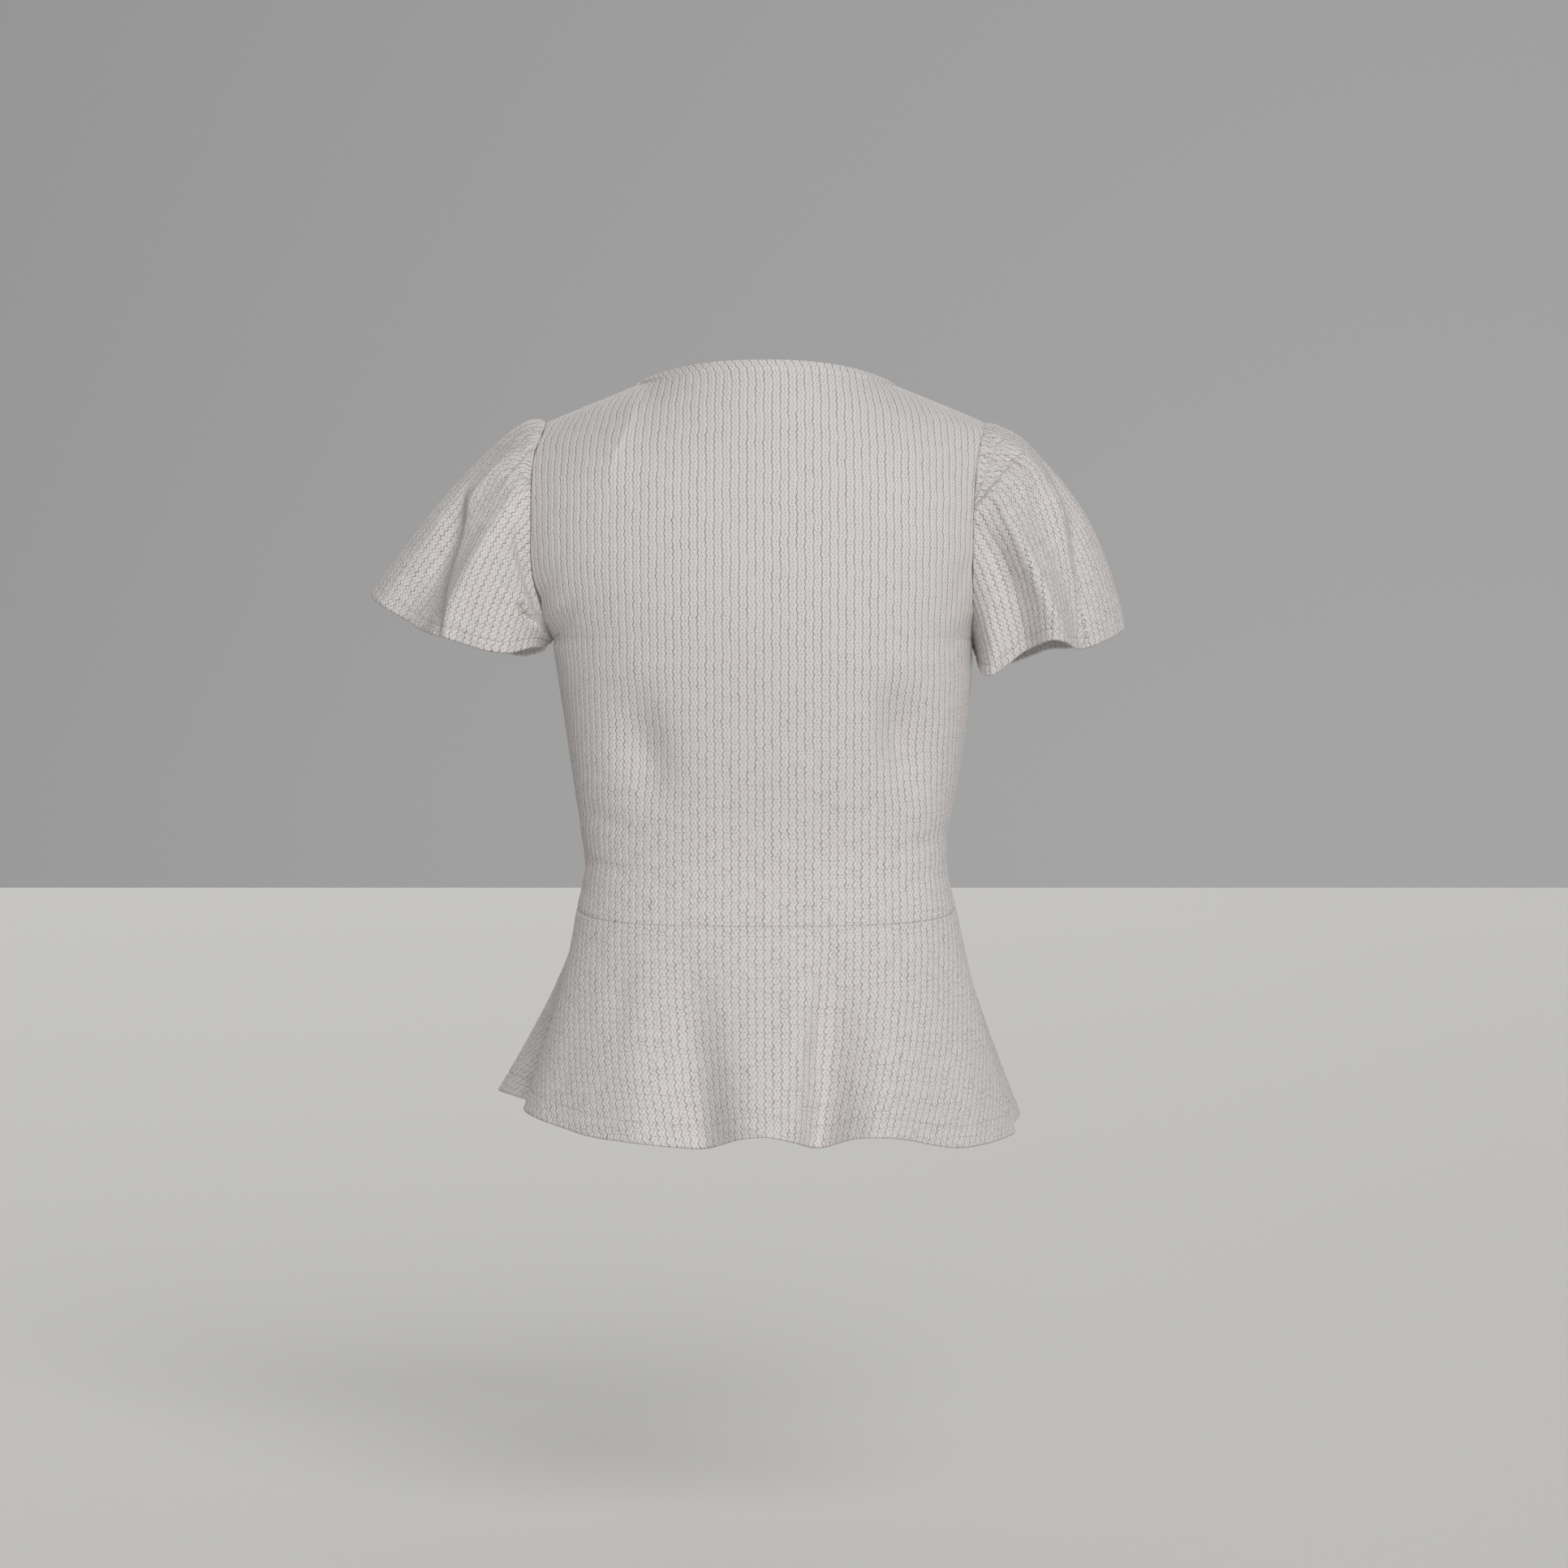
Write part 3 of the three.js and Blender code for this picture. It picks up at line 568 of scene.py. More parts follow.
def cloth_shell(name, panel, material):
    """Closed thin shell of a panel: a fine outer grid with its relief, a coarse plain inner grid a
    wall below it, and rims, which are rounded where the edge is free and not sewn."""
    points = panel["points"]
    normals = panel["normals"]
    wraps = panel["wraps"]
    rows, columns = points.shape[:2]
    width = columns - 1 if wraps else columns
    outer = points + normals * (panel["folds"] + panel["relief"])[..., None]
    inner = points + normals * (panel["folds"] - panel["wall"])[..., None]
    kept_rows, kept_columns = (
        np.unique(np.round(np.linspace(0, count - 1, count // panel["inner_step"])).astype(int))
        for count in (rows, columns))
    inner_width = len(kept_columns) - 1 if wraps else len(kept_columns)
    flat = panel["flat"]
    spots = [outer[:, :width].reshape(-1, 3)]
    places = [flat[:, :width].reshape(-1, 2)]
    ends = [closing_places(flat, width)]
    coarse = inner[np.ix_(kept_rows, kept_columns)]
    coarse_flat = flat[np.ix_(kept_rows, kept_columns)]
    spots.append(coarse[:, :inner_width].reshape(-1, 3))
    places.append(coarse_flat[:, :inner_width].reshape(-1, 2))
    ends.append(closing_places(coarse_flat, inner_width))
    index = np.arange(rows)[:, None] * width + np.arange(columns) % width
    first = rows * width
    coarse_index = first + np.arange(len(kept_rows))[:, None] * inner_width \
        + np.arange(len(kept_columns)) % inner_width
    total = first + len(kept_rows) * inner_width
    smooth_quads = [grid_quads(index), grid_quads(coarse_index)[:, ::-1]]
    rim_quads = []
    triangles = []
    column_mates = near_indices(columns, kept_columns)
    row_mates = near_indices(rows, kept_rows)
    for row, coarse_row, order in ((0, 0, -1), (rows - 1, -1, 1)):
        line = index[row]
        mates = coarse_index[coarse_row][column_mates]
        if row > 0:
            beyond = points[row] - points[row - 1]
            beyond /= np.maximum(np.linalg.norm(beyond, axis=-1, keepdims=True), TINY)
            half_wall = panel["wall"][row][:, None] / 2
            middle = (outer[row] + inner[row]) / 2 + beyond * half_wall
            spots.append(middle[:width])
            places.append(flat[row, :width])
            ends.append(closing_places(flat[row], width))
            ring = total + np.arange(columns) % width
            total += width
            smooth_quads.append(strip(line[::order], ring[::order])[0])
            if not wraps:
                corners = np.array([(line[0], ring[0], mates[0]), (line[-1], mates[-1], ring[-1])])
                triangles.append(corners if order > 0 else corners[:, ::-1])
            line = ring
        quads, few = strip(line[::order], mates[::order])
        rim_quads.append(quads)
        triangles.append(few)
    if not wraps:
        for column, coarse_column, order in ((0, 0, 1), (columns - 1, -1, -1)):
            line = index[:, column]
            mates = coarse_index[:, coarse_column][row_mates]
            quads, few = strip(line[::order], mates[::order])
            rim_quads.append(quads)
            triangles.append(few)
    plain = np.concatenate(smooth_quads)
    quads = np.concatenate([plain] + rim_quads)
    triangles = np.concatenate(triangles)
    if panel["sign"] < 0:
        quads = quads[:, ::-1]
        triangles = triangles[:, ::-1]
    spots = np.concatenate(spots) * MM
    places = np.concatenate(places)
    ends = np.concatenate(ends)
    mesh = bpy.data.meshes.new(name)
    mesh.from_pydata(spots.tolist(), [], quads.tolist() + triangles.tolist())
    mesh.polygons.foreach_set("use_smooth", np.arange(len(mesh.polygons)) < len(plain))
    uvs = []
    for faces in (quads, triangles):
        corners = places[faces]
        far = corners[..., 0].max(axis=1, keepdims=True) - corners[..., 0] > SEAM_JUMP
        uvs.append(np.where(far[..., None], ends[faces], corners).reshape(-1, 2))
    layer = mesh.uv_layers.new(name="flat_cloth")
    layer.data.foreach_set("uv", (np.concatenate(uvs) * MM).astype(np.float32).ravel())
    mesh.materials.append(material)
    return stand(name, mesh), outer


def srgb(code):
    """An sRGB hex colour as linear red, green, blue and full alpha."""
    parts = np.array([int(code[place:place + 2], 16) / 255 for place in (0, 2, 4)])
    linear = np.where(parts <= 0.04045, parts / 12.92, ((parts + 0.055) / 1.055) ** 2.4)
    return (*linear.tolist(), 1.0)


def add_node(tree, kind, settings=None, inputs=None):
    """Adds one node, with its own settings and with each input set to a value or linked to a socket."""
    node = tree.nodes.new(kind)
    for name, value in (settings or {}).items():
        setattr(node, name, value)
    for name, value in (inputs or {}).items():
        if isinstance(value, bpy.types.NodeSocket):
            tree.links.new(value, node.inputs[name])
        else:
            node.inputs[name].default_value = value
    return node


def blank_material(name):
    """A material of its own name with an empty node tree, and that tree."""
    material = bpy.data.materials.new(name)
    material.use_nodes = True
    material.node_tree.nodes.clear()
    return material, material.node_tree


def rib_knit():
    """Crinkle-rib polyester and elastane knit: soft and matte, with fuzz that lifts light at grazing
    angles; thin wavy grooves between the ribs, a broken line down the middle of each and small crimped
    cells, which show more where the cloth hangs loose; grooves, middle lines and cells are also darker in
    the base colour, as painted shade in those hollows. Worked out in millimetres of flat cloth."""
    material, tree = blank_material("crinkle_rib_polyester_knit")
    flat = add_node(tree, "ShaderNodeUVMap", {"uv_map": "flat_cloth"}).outputs["UV"]
    split = add_node(tree, "ShaderNodeSeparateXYZ", inputs={0: flat})
    values = {"u": split.outputs["X"], "v": split.outputs["Y"]}
    for name, scale, detail in (("uneven", 120.0, 2.0), ("yarn", 900.0, 3.0), ("spread", 14.0, 3.0)):
        values[name] = add_node(tree, "ShaderNodeTexNoise", {"noise_dimensions": "2D"},
                                {"Vector": flat, "Scale": scale, "Detail": detail}).outputs[0]
    # Each step names its result, and gives what is done and its two values, earlier results by name
    steps = (
        ("across", "MULTIPLY", "u", 1 / MM),
        ("along", "MULTIPLY", "v", 1 / MM),
        ("above waist", "DIVIDE", "along", LOOSE_HEIGHT),
        ("loose", "SUBTRACT", 1.0, "above waist"),
        ("loose", "MINIMUM", "loose", 1.0),
        ("loose", "MAXIMUM", "loose", 0.4),
        ("turn", "MULTIPLY", "along", 2 * np.pi / CELL_LENGTH),
        ("late", "MULTIPLY", "uneven", 4.0),
        ("turn", "ADD", "turn", "late"),
        ("crimp", "SINE", "turn", 0.0),
        ("crimp size", "MULTIPLY", "loose", 0.56),
        ("crimp size", "ADD", "crimp size", 0.14),
        ("crimp", "MULTIPLY", "crimp", "crimp size"),
        ("drift", "MULTIPLY", "uneven", 1.3),
        ("place", "ADD", "across", "crimp"),
        ("place", "ADD", "place", "drift"),
        ("place", "DIVIDE", "place", RIB_PITCH),
        ("in rib", "FRACT", "place", 0.0),
        ("in rib", "SUBTRACT", "in rib", 0.5),
        ("in rib", "ABSOLUTE", "in rib", 0.0),
        ("from middle", "MULTIPLY", "in rib", 2.0),
        ("groove", "POWER", "from middle", 11.0),
        ("pulled", "MULTIPLY", "uneven", 1.3),
        ("pulled", "ADD", "pulled", 0.3),
        ("groove", "MULTIPLY", "groove", "pulled"),
        ("near middle", "SUBTRACT", 1.0, "from middle"),
        ("middle line", "POWER", "near middle", 13.0),
        ("dash", "MULTIPLY", "along", 2 * np.pi / DASH_LENGTH),
        ("dash", "ADD", "dash", "late"),
        ("dash", "SINE", "dash", 0.0),
        ("dash", "MAXIMUM", "dash", 0.15),
        ("middle line", "MULTIPLY", "middle line", "dash"),
        ("cell late", "MULTIPLY", "uneven", 14.0),
        ("cell turn", "ADD", "turn", "cell late"),
        ("cell", "COSINE", "cell turn", 0.0),
        ("cell", "MAXIMUM", "cell", 0.0),
        ("cell", "POWER", "cell", 4.0),
        ("cell", "MULTIPLY", "cell", "loose"),
        ("cell", "MULTIPLY", "cell", "uneven"),
        ("line depth", "MULTIPLY", "middle line", 0.8),
        ("cell depth", "MULTIPLY", "cell", 0.8),
        ("yarn height", "MULTIPLY", "yarn", 0.3),
        ("height", "SUBTRACT", "yarn height", "groove"),
        ("height", "SUBTRACT", "height", "line depth"),
        ("height", "SUBTRACT", "height", "cell depth"),
        # Painted shade: how far the base colour darkens in the grooves, middle lines and cells, where shade
        # falls in the hollows of the knit
        ("painted shade", "MULTIPLY", "groove", 0.8),
        ("painted line shade", "MULTIPLY", "middle line", 0.7),
        ("painted cell shade", "MULTIPLY", "cell", 0.3),
        ("painted shade", "ADD", "painted shade", "painted line shade"),
        ("painted shade", "ADD", "painted shade", "painted cell shade"),
        ("patches", "MULTIPLY", "spread", 0.2),
    )
    for name, operation, first, second in steps:
        values[name] = add_node(tree, "ShaderNodeMath", {"operation": operation},
                                {0: values.get(first, first), 1: values.get(second, second)}).outputs[0]
    bump = add_node(tree, "ShaderNodeBump",
                    inputs={"Strength": 0.85, "Distance": 0.0006, "Height": values["height"]})
    # Base colour darkened towards a brown grey by the painted shade in the hollows, then mixed with random
    # patches of a greyer tone
    colour = add_node(tree, "ShaderNodeMix", {"data_type": "RGBA"}, {
        "Factor": values["painted shade"], "A": srgb("E0DCDA"), "B": srgb("857B74")}).outputs["Result"]
    colour = add_node(tree, "ShaderNodeMix", {"data_type": "RGBA"}, {
        "Factor": values["patches"], "A": colour, "B": srgb("CCC5C0")}).outputs["Result"]
    shader = add_node(tree, "ShaderNodeBsdfPrincipled", inputs={
        "Base Color": colour, "Roughness": 0.86, "IOR": 1.46, "Specular IOR Level": 0.25,
        "Sheen Weight": 0.18, "Sheen Roughness": 0.55, "Normal": bump.outputs["Normal"],
    })
    add_node(tree, "ShaderNodeOutputMaterial", inputs={"Surface": shader.outputs["BSDF"]})
    return material


def sewing_thread():
    """Spun polyester thread: slanting turns of a soft twist along each stitch, as bumps and as painted
    shade.
    """
    material, tree = blank_material("spun_polyester_thread")
    place = add_node(tree, "ShaderNodeTexCoord").outputs["Object"]
    twist = add_node(tree, "ShaderNodeTexWave", {"bands_direction": "DIAGONAL"},
                     {"Vector": place, "Scale": 900.0, "Distortion": 1.0}).outputs["Fac"]
    # Painted shade on the twist: the base colour is darker in the hollows between its turns than on their
    # crests, following the same waves as the bump
    colour = add_node(tree, "ShaderNodeMix", {"data_type": "RGBA"},
                      {"Factor": twist, "A": srgb("B9B3AB"), "B": srgb("DAD5CE")}).outputs["Result"]
    bump = add_node(tree, "ShaderNodeBump", inputs={"Strength": 0.5, "Distance": 0.0001, "Height": twist})
    shader = add_node(tree, "ShaderNodeBsdfPrincipled", inputs={
        "Base Color": colour, "Roughness": 0.6, "IOR": 1.5, "Sheen Weight": 0.1,
        "Normal": bump.outputs["Normal"],
    })
    add_node(tree, "ShaderNodeOutputMaterial", inputs={"Surface": shader.outputs["BSDF"]})
    return material


def floor_paint():
    """Matte painted board: no gloss, with slow patches of two near greys, as a rolled coat dries."""
    material, tree = blank_material("matte_painted_floor")
    patches = add_node(tree, "ShaderNodeTexNoise", inputs={"Scale": 3.0, "Detail": 2.0}).outputs[0]
    tone = add_node(tree, "ShaderNodeMix", {"data_type": "RGBA"},
                    {"Factor": patches, "A": srgb("D5D4D2"), "B": srgb("DBDAD8")}).outputs["Result"]
    shader = add_node(tree, "ShaderNodeBsdfPrincipled", inputs={"Base Color": tone, "Roughness": 0.9})
    add_node(tree, "ShaderNodeOutputMaterial", inputs={"Surface": shader.outputs["BSDF"]})
    return material


def stitches(name, centres, ways, normals, size, material):
    """One small bead a stitch: rings whose radius follows a half circle, laid along the seam line.
    The row of them is a piece of its own."""
    length, radius = size
    sides = 6
    steps = np.array((-1, -0.75, 0, 0.75, 1))
    round_angle = np.arange(sides) / sides * 2 * np.pi
    swell = np.sqrt(1 - steps ** 2)
    long_way = np.repeat(steps, sides) * length / 2
    side_way = np.outer(swell, np.cos(round_angle)).ravel() * radius
    up_way = np.outer(swell, np.sin(round_angle)).ravel() * radius
    sideways = np.cross(normals, ways)
    spots = (
        centres[:, None] + ways[:, None] * long_way[None, :, None]
        + sideways[:, None] * side_way[None, :, None] + normals[:, None] * up_way[None, :, None]
    ).reshape(-1, 3)
    ring = np.arange(sides)
    bands = [np.stack([band * sides + ring, band * sides + (ring + 1) % sides,
                       (band + 1) * sides + (ring + 1) % sides, (band + 1) * sides + ring], axis=1)
             for band in range(len(steps) - 1)]
    faces = np.concatenate(bands)
    starts = np.arange(len(centres))[:, None, None] * (len(steps) * sides)
    mesh = bpy.data.meshes.new(name)
    mesh.from_pydata((spots * MM).tolist(), [], (faces[None] + starts).reshape(-1, 4).tolist())
    mesh.polygons.foreach_set("use_smooth", np.ones(len(mesh.polygons), dtype=bool))
    mesh.materials.append(material)
    row = stand(name, mesh)
    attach(row, "root")


def line_at(outer, normals, from_edge, distance):
    """Points and normals of each column where its distance from the edge reaches the given one."""
    beyond = from_edge > distance
    far = beyond.shape[0] - 1 - np.argmax(beyond[::-1], axis=0)
    near = np.clip(far + 1, 0, beyond.shape[0] - 1)
    column = np.arange(beyond.shape[1])
    gap = np.maximum(from_edge[far, column] - from_edge[near, column], TINY)
    share = ((from_edge[far, column] - distance) / gap)[:, None]
    return [mix(grid[far, column], grid[near, column], share) for grid in (outer, normals)]


def along_line(wanted, walked, values):
    """Values of a line of points at the wanted distances along it, even between its points."""
    return np.stack([np.interp(wanted, walked, column) for column in values.T], axis=1)


def even_places(points, normals, pitch):
    """Places an even pitch apart along a line of points, with the way it runs and its normal there."""
    walked = lengths(points[None], 1)[0]
    count = int(walked[-1] / pitch)
    wanted = (np.arange(count) + 0.5) * walked[-1] / count
    centres = along_line(wanted, walked, points)
    ahead = along_line(wanted + STITCH_WAY_STEP, walked, points)
    behind = along_line(wanted - STITCH_WAY_STEP, walked, points)
    upright = along_line(wanted, walked, normals)
    ways = (ahead - behind) / np.linalg.norm(ahead - behind, axis=1, keepdims=True)
    upright -= ways * (upright * ways).sum(axis=1, keepdims=True)
    return centres, ways, upright / np.linalg.norm(upright, axis=1, keepdims=True)


def bodice_panel(face, folds):
    """Grid of a bodice panel, with its seams, neck band, folds and ribs."""
    lower = np.linspace(0, UNDERARM_UP, BODICE_LOWER_ROWS, endpoint=False)
    eased = (1 - np.cos(np.linspace(0, np.pi, BODICE_ARMHOLE_ROWS))) / 2
    up = np.concatenate([lower, mix(UNDERARM_UP, 1, eased)])[:, None]
    across = np.linspace(-1, 1, BODICE_COLUMNS)[None, :]
    points = bodice_surface(across, up, face)
    u = lengths(points, 1)
    v = lengths(points, 0)
    middle = u[:, u.shape[1] // 2][:, None]
    from_top = v[-1:] - v
    from_side = np.minimum(u, u[:, -1:] - u)
    at_neck = np.abs(across) < NECK_SHARE
    in_band = at_neck & (from_top < NECK_BAND)
    slant = mix(*NECK_BAND_SLANTS, (across / NECK_SHARE + 1) / 2)
    turned = np.where(in_band, slant * (NECK_BAND - from_top), 0)
    flat = wandering(np.stack([u - middle + turned, v], axis=-1))
    dips = bell(from_side, 0, SEAM_REACH) + bell(v, 0, SEAM_REACH)
    dips = np.minimum(dips + np.where(at_neck, 0, bell(from_top, 0, SEAM_REACH)), 1)
    rise = mix(*NECK_BAND_RISES, smooth(np.abs(across) / NECK_SHARE * 2 - 1))
    band = rise * smooth((NECK_BAND - from_top) / SEAM_REACH) \
        - NECK_BAND_DIP * bell(from_top, NECK_BAND, SEAM_REACH)
    return {
        "points": points, "normals": outward_normals(points, -face, False), "flat": flat,
        "folds": fold_relief(seen_places(points, face), folds) - SEAM_DIP * dips,
        "relief": np.where(at_neck, band, 0) + rib_relief(flat) * (1 - dips),
        "wall": np.full(u.shape, WALL), "sign": -face, "wraps": False, "inner_step": 3,
        "from_edge": from_top,
    }


def hem_wall(from_hem, stitch):
    """Wall that grows from one layer of cloth to the doubled hem below its line of stitches."""
    return mix(HEM_WALL, WALL, smooth((from_hem - stitch) / HEM_WALL_EASE + 0.5))


def peplum_panel(face, folds):
    """Grid of a peplum panel, with its seams, stitched hem, folds and ribs."""
    down = np.concatenate([
        np.linspace(0, PEPLUM_HEM_SHARE, PEPLUM_ROWS, endpoint=False),
        np.linspace(PEPLUM_HEM_SHARE, 1, PEPLUM_HEM_ROWS),
    ])[:, None]
    across = np.linspace(-1, 1, PEPLUM_COLUMNS)[None, :]
    points = peplum_surface(across, down, face)
    u = lengths(points, 1)
    v = lengths(points, 0)
    middle = u[:, u.shape[1] // 2][:, None]
    from_hem = v[-1:] - v
    from_side = np.minimum(u, u[:, -1:] - u)
    flat = wandering(np.stack([u - middle, -v], axis=-1))
    dips = np.minimum(bell(from_side, 0, SEAM_REACH) + bell(v, 0, SEAM_REACH), 1)
    pressed = bell(from_hem, PEPLUM_HEM_STITCH, STITCH_DIP_REACH)
    return {
        "points": points, "normals": outward_normals(points, face, False), "flat": flat,
        "folds": fold_relief(seen_places(points, face), folds) - SEAM_DIP * dips,
        "relief": rib_relief(flat) * (1 - dips) - STITCH_DIP * pressed,
        "wall": hem_wall(from_hem, PEPLUM_HEM_STITCH), "sign": face, "wraps": False, "inner_step": 3,
        "from_edge": from_hem,
    }


def sleeve_flat(points, side, grain):
    """Flat places of a sleeve: down it along the grain, and across it as the way walked round it at
    the same place down the grain from the outer fold, so that the ribs run as that fold does."""
    place = points[..., [0, 2]]
    down = place @ np.array((side * np.sin(grain), -np.cos(grain)))
    crossed = np.stack([place @ np.array((-side * np.cos(grain), -np.sin(grain))), points[..., 1]], axis=-1)
    levels = np.linspace(down.min(), down.max(), GRAIN_LEVELS)
    column = np.arange(down.shape[1])
    row = (down[:, None, :] <= levels[:, None]).sum(axis=0) - 1
    row = np.clip(row, 0, len(down) - 2)
    run = np.maximum(down[row + 1, column] - down[row, column], TINY)
    share = np.clip((levels[:, None] - down[row, column]) / run, 0, 1)
    walked = lengths(mix(crossed[row, column], crossed[row + 1, column], share[..., None]), 1)
    walked -= walked[:, [walked.shape[1] // 2]]
    level = (down - levels[0]) / (levels[1] - levels[0])
    low = np.minimum(level.astype(int), GRAIN_LEVELS - 2)
    return mix(walked[low, column], walked[low + 1, column], level - low), down


def sleeve_panel(side, grain, hem_rows, rise, back, front):
    """Grid of a sleeve, all round from the underarm seam, with its seams, hem, folds and ribs."""
    along = np.concatenate([
        np.linspace(0, SLEEVE_HEM_SHARE, SLEEVE_ROWS, endpoint=False),
        np.linspace(SLEEVE_HEM_SHARE, 1, SLEEVE_HEM_ROWS),
    ])[:, None]
    turn, along = np.broadcast_arrays(np.linspace(-0.5, 0.5, SLEEVE_COLUMNS)[None, :], along)
    points = sleeve_surface(turn, along, side, hem_rows, rise)
    u = lengths(points, 1)
    v = lengths(points, 0)
    from_hem = v[-1:] - v
    from_underarm = np.minimum(u, u[:, -1:] - u)
    at_back = smooth(-points[..., 1] / SLEEVE_FACE_BLEND + 0.5)
    folds = 0
    pushed = 0
    across, down = sleeve_flat(points, side, grain)
    for face, share, (soft, laps) in ((-1, at_back, back), (1, 1 - at_back, front)):
        place = seen_places(points, face)
        lapped, shift = lap_relief(place, laps, side, grain)
        folds = folds + share * fold_relief(place, soft)
        pushed = pushed + face * share * lapped
        across = across - face * smooth(-face * turn / SLEEVE_TURN_BLEND + 0.5) * shift
    points = points + (pushed * smooth(v / LAP_SEAM_EASE))[..., None] * np.array((0, 1, 0))
    flat = wandering(np.stack([across, -SLEEVE_CRIMP * down], axis=-1))
    dips = np.minimum(bell(v, 0, SEAM_REACH) + bell(from_underarm, 0, SEAM_REACH) / 2, 1)
    pressed = bell(from_hem, SLEEVE_HEM_STITCH, STITCH_DIP_REACH)
    return {
        "points": points, "normals": outward_normals(points, side, True), "flat": flat,
        "folds": folds - SEAM_DIP * dips,
        "relief": rib_relief(flat) * (1 - dips) - STITCH_DIP * pressed,
        "wall": hem_wall(from_hem, SLEEVE_HEM_STITCH), "sign": side, "wraps": True, "inner_step": 1,
        "from_edge": from_hem,
    }


knit = rib_knit()
thread = sewing_thread()

# Each panel with the node that it stands for and the size it was cut to, in metres
panels = (
    ("back_bodice_cloth", "bodice_back", bodice_panel(-1, BACK_BODICE_FOLDS), (0.36, 0.40), 0.126),
    ("front_bodice_cloth", "bodice_front", bodice_panel(1, FRONT_BODICE_FOLDS), (0.37, 0.40), 0.118),
    ("back_peplum_cloth", "peplum_back", peplum_panel(-1, BACK_PEPLUM_FOLDS), (0.48, 0.20), 0.058),
    ("front_peplum_cloth", "peplum_front", peplum_panel(1, FRONT_PEPLUM_FOLDS), (0.51, 0.20), 0.062),
    ("left_sleeve_cloth", "sleeve_left", sleeve_panel(
        -1, LEFT_GRAIN, LEFT_SLEEVE_HEM, LEFT_CAP, (LEFT_SLEEVE_BACK_FOLDS, LEFT_SLEEVE_BACK_LAPS),
        (LEFT_SLEEVE_FRONT_FOLDS, LEFT_SLEEVE_FRONT_LAPS)), (0.38, 0.17), 0.035),
    ("right_sleeve_cloth", "sleeve_right", sleeve_panel(
        1, RIGHT_GRAIN, RIGHT_SLEEVE_HEM, RIGHT_CAP, (RIGHT_SLEEVE_BACK_FOLDS, RIGHT_SLEEVE_BACK_LAPS),
        (RIGHT_SLEEVE_FRONT_FOLDS, RIGHT_SLEEVE_FRONT_LAPS)), (0.38, 0.17), 0.037),
)
grids = {}
surfaces = {}
for name, node, panel, flat_size, flat_area in panels:
    cloth, surfaces[name] = cloth_shell(name, panel, knit)
    grids[name] = panel
    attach(cloth, "root")
    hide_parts(node)

# Rows of stitches a little above each hem's edge
hems = {
    "back_peplum": PEPLUM_HEM_STITCH,
    "front_peplum": PEPLUM_HEM_STITCH,
    "left_sleeve": SLEEVE_HEM_STITCH,
    "right_sleeve": SLEEVE_HEM_STITCH,
}
for name, distance in hems.items():
    grid = grids[name + "_cloth"]
    seam = line_at(surfaces[name + "_cloth"], grid["normals"], grid["from_edge"], distance)
    stitches(name + "_hem_stitches", *even_places(*seam, STITCH_PITCH), STITCH_SIZE, thread)

# Each tack lies on the back bodice where it is seen from behind
back_cloth = surfaces["back_bodice_cloth"]
seen = seen_places(back_cloth, -1)
spots = [np.argmin(((seen - tack) ** 2).sum(axis=-1)) for tack in NECK_TACKS[:, :2]]
facings = grids["back_bodice_cloth"]["normals"].reshape(-1, 3)[spots]
upright = NECK_TACKS[:, 2]
ways = np.stack([1 - upright, np.zeros_like(upright), upright], axis=1)
ways -= facings * (ways * facings).sum(axis=1, keepdims=True)
ways /= np.linalg.norm(ways, axis=1, keepdims=True)
stitches("neck_tack_stitches", back_cloth.reshape(-1, 3)[spots], ways, facings, TACK_SIZE, thread)

# Plain soft studio light: a broad key above the camera, and a weaker one on the front of the blouse.
# Each has the way that its light comes from, its strength and its width in degrees.
SOFT_LIGHTS = (
    ("key_soft_light", (0.2, -0.9, 0.4), 1.72, 30),
    ("front_soft_light", (-0.14, 0.9, 0.45), 1.5, 40),
)
for name, place, strength, spread in SOFT_LIGHTS:
    light = bpy.data.lights.new(name, "SUN")
    light.energy = strength
    light.angle = np.radians(spread)
    stand(name, light).rotation_euler = Vector(place).to_track_quat("Z", "Y").to_euler()

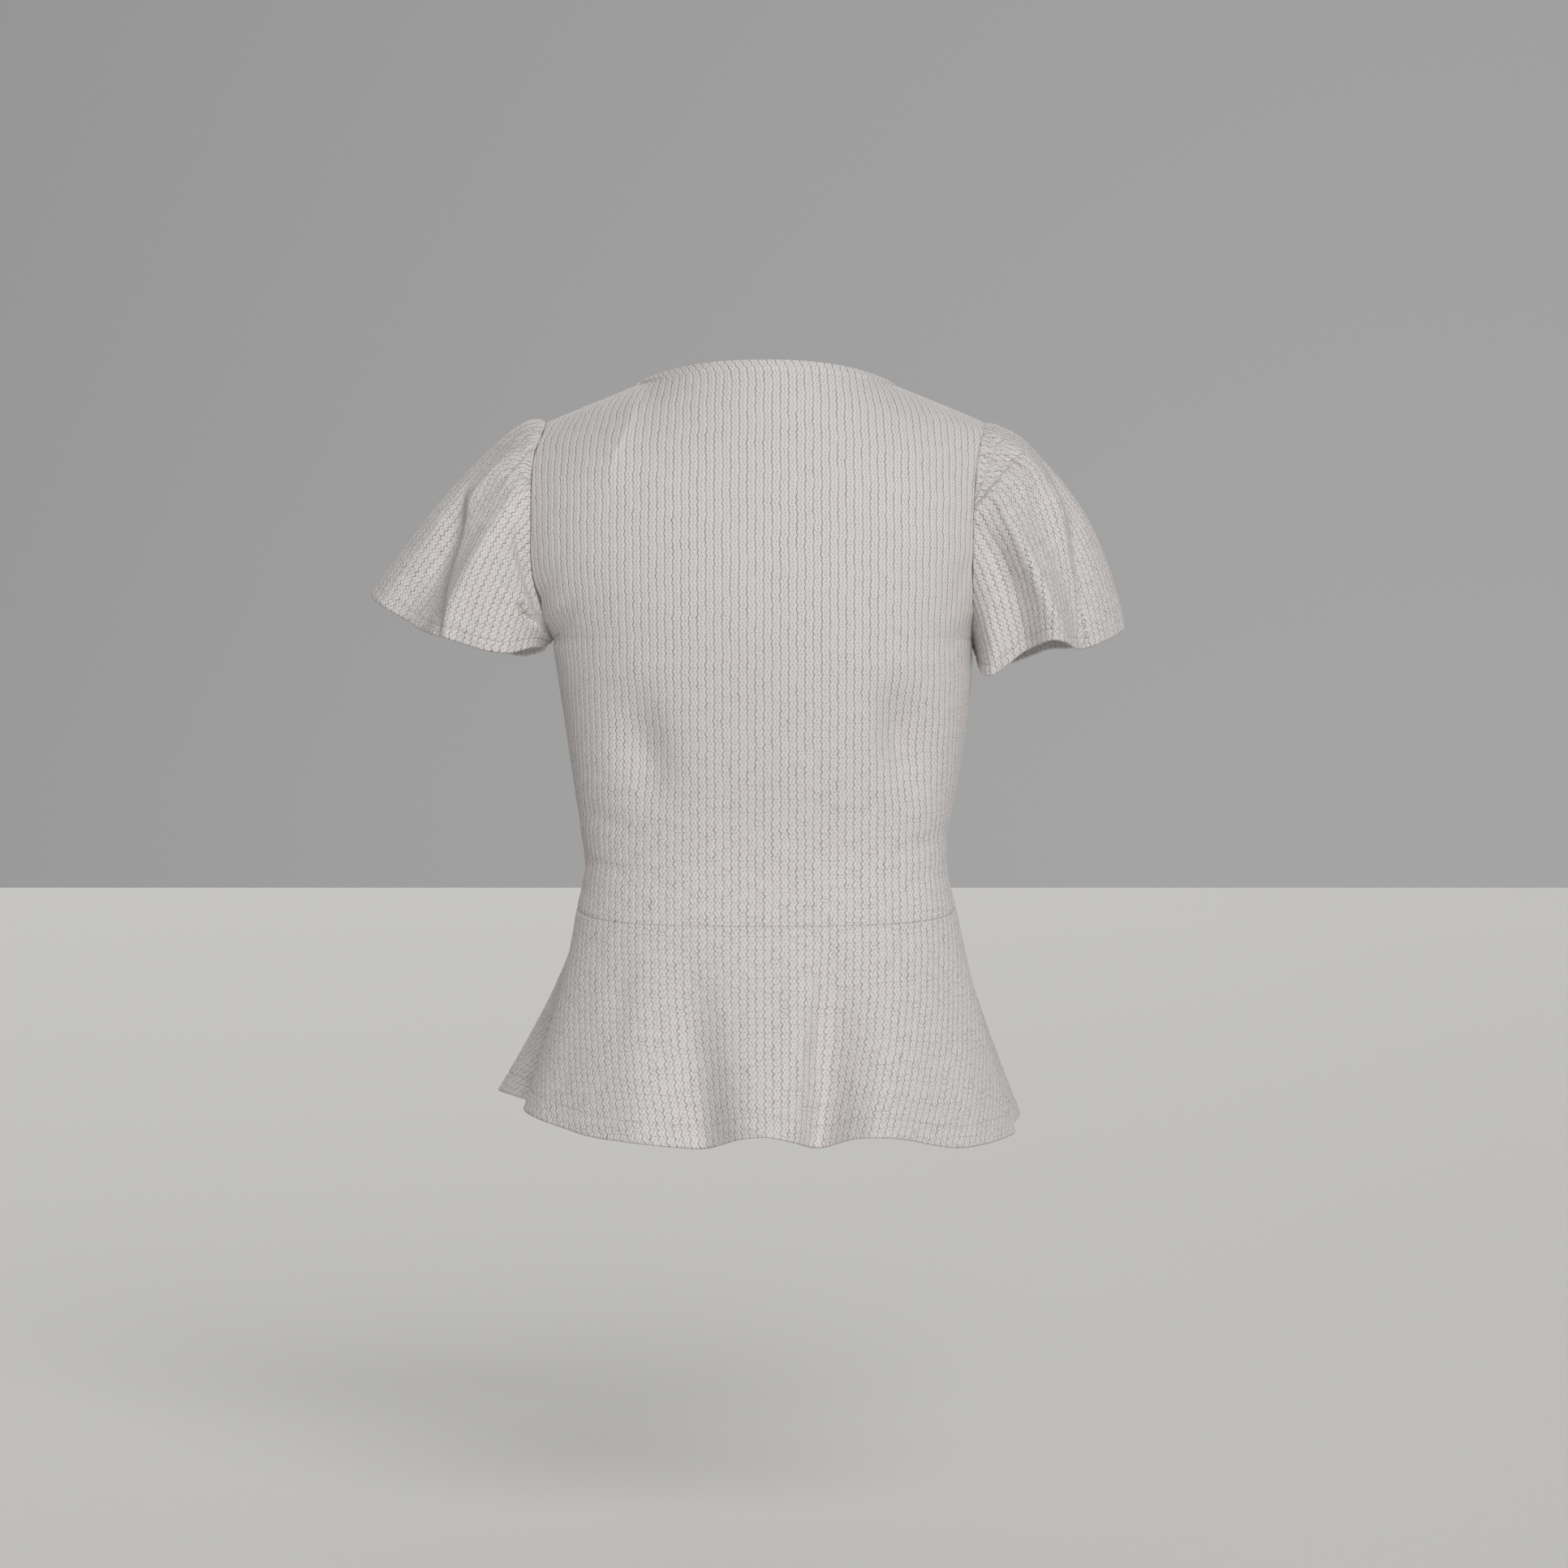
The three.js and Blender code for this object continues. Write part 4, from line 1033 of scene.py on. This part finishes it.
# The studio is pale behind and before the blouse and darker at its sides, mostly at -X, and a little
# brighter low down than above. Directions have a length of 1, and levels are shares of full white.
PALE_MIDDLE_X = 0.25
PALE_TO_DARK = {"From Min": 0.1, "From Max": 1.1, "To Min": 0.39, "To Max": 0.17}
LOW_TO_HIGH = {"From Min": 0.0, "From Max": 0.4, "To Min": 1.0, "To Max": 0.86}
world = bpy.data.worlds.new("studio")
world.use_nodes = True
studio = world.node_tree
looked = add_node(studio, "ShaderNodeTexCoord").outputs["Generated"]
looked = add_node(studio, "ShaderNodeSeparateXYZ", inputs={0: looked}).outputs
aside = add_node(studio, "ShaderNodeMath", {"operation": "SUBTRACT"},
                 {0: looked["X"], 1: PALE_MIDDLE_X}).outputs[0]
aside = add_node(studio, "ShaderNodeMath", {"operation": "ABSOLUTE"}, {0: aside}).outputs[0]
across_level = add_node(studio, "ShaderNodeMapRange", {"interpolation_type": "SMOOTHSTEP"},
                        {"Value": aside, **PALE_TO_DARK}).outputs[0]
upright_level = add_node(studio, "ShaderNodeMapRange",
                         inputs={"Value": looked["Z"], **LOW_TO_HIGH}).outputs[0]
studio_level = add_node(studio, "ShaderNodeMath", {"operation": "MULTIPLY"},
                        {0: across_level, 1: upright_level}).outputs[0]
studio.nodes["Background"].inputs["Color"].default_value = srgb("FBFAFA")
studio.links.new(studio_level, studio.nodes["Background"].inputs["Strength"])
bpy.context.scene.world = world
bpy.context.scene.view_settings.view_transform = "Standard"

# A wide plain floor, in metres
FLOOR_Z = -0.8
FLOOR_HALF = 20.0
floor_mesh = bpy.data.meshes.new("studio_floor")
floor_mesh.from_pydata([(x * FLOOR_HALF, y * FLOOR_HALF, FLOOR_Z)
                        for x, y in ((-1, -1), (1, -1), (1, 1), (-1, 1))], [], [(0, 1, 2, 3)])
floor_mesh.materials.append(floor_paint())
stand("studio_floor", floor_mesh)

# The camera stands 3 m behind the blouse, square to its back, as the photograph was taken. Its lens
# and sensor, in millimetres, take in about 1053 mm across at the side seams.
CAMERA_LENS = 102.56
CAMERA_SENSOR = 36
camera = bpy.data.cameras.new("camera")
camera.lens = CAMERA_LENS
camera.sensor_width = CAMERA_SENSOR
viewer = stand("camera", camera)
viewer.location = (EYE * MM).tolist()
viewer.rotation_euler = (np.pi / 2, 0, 0)
bpy.context.scene.camera = viewer
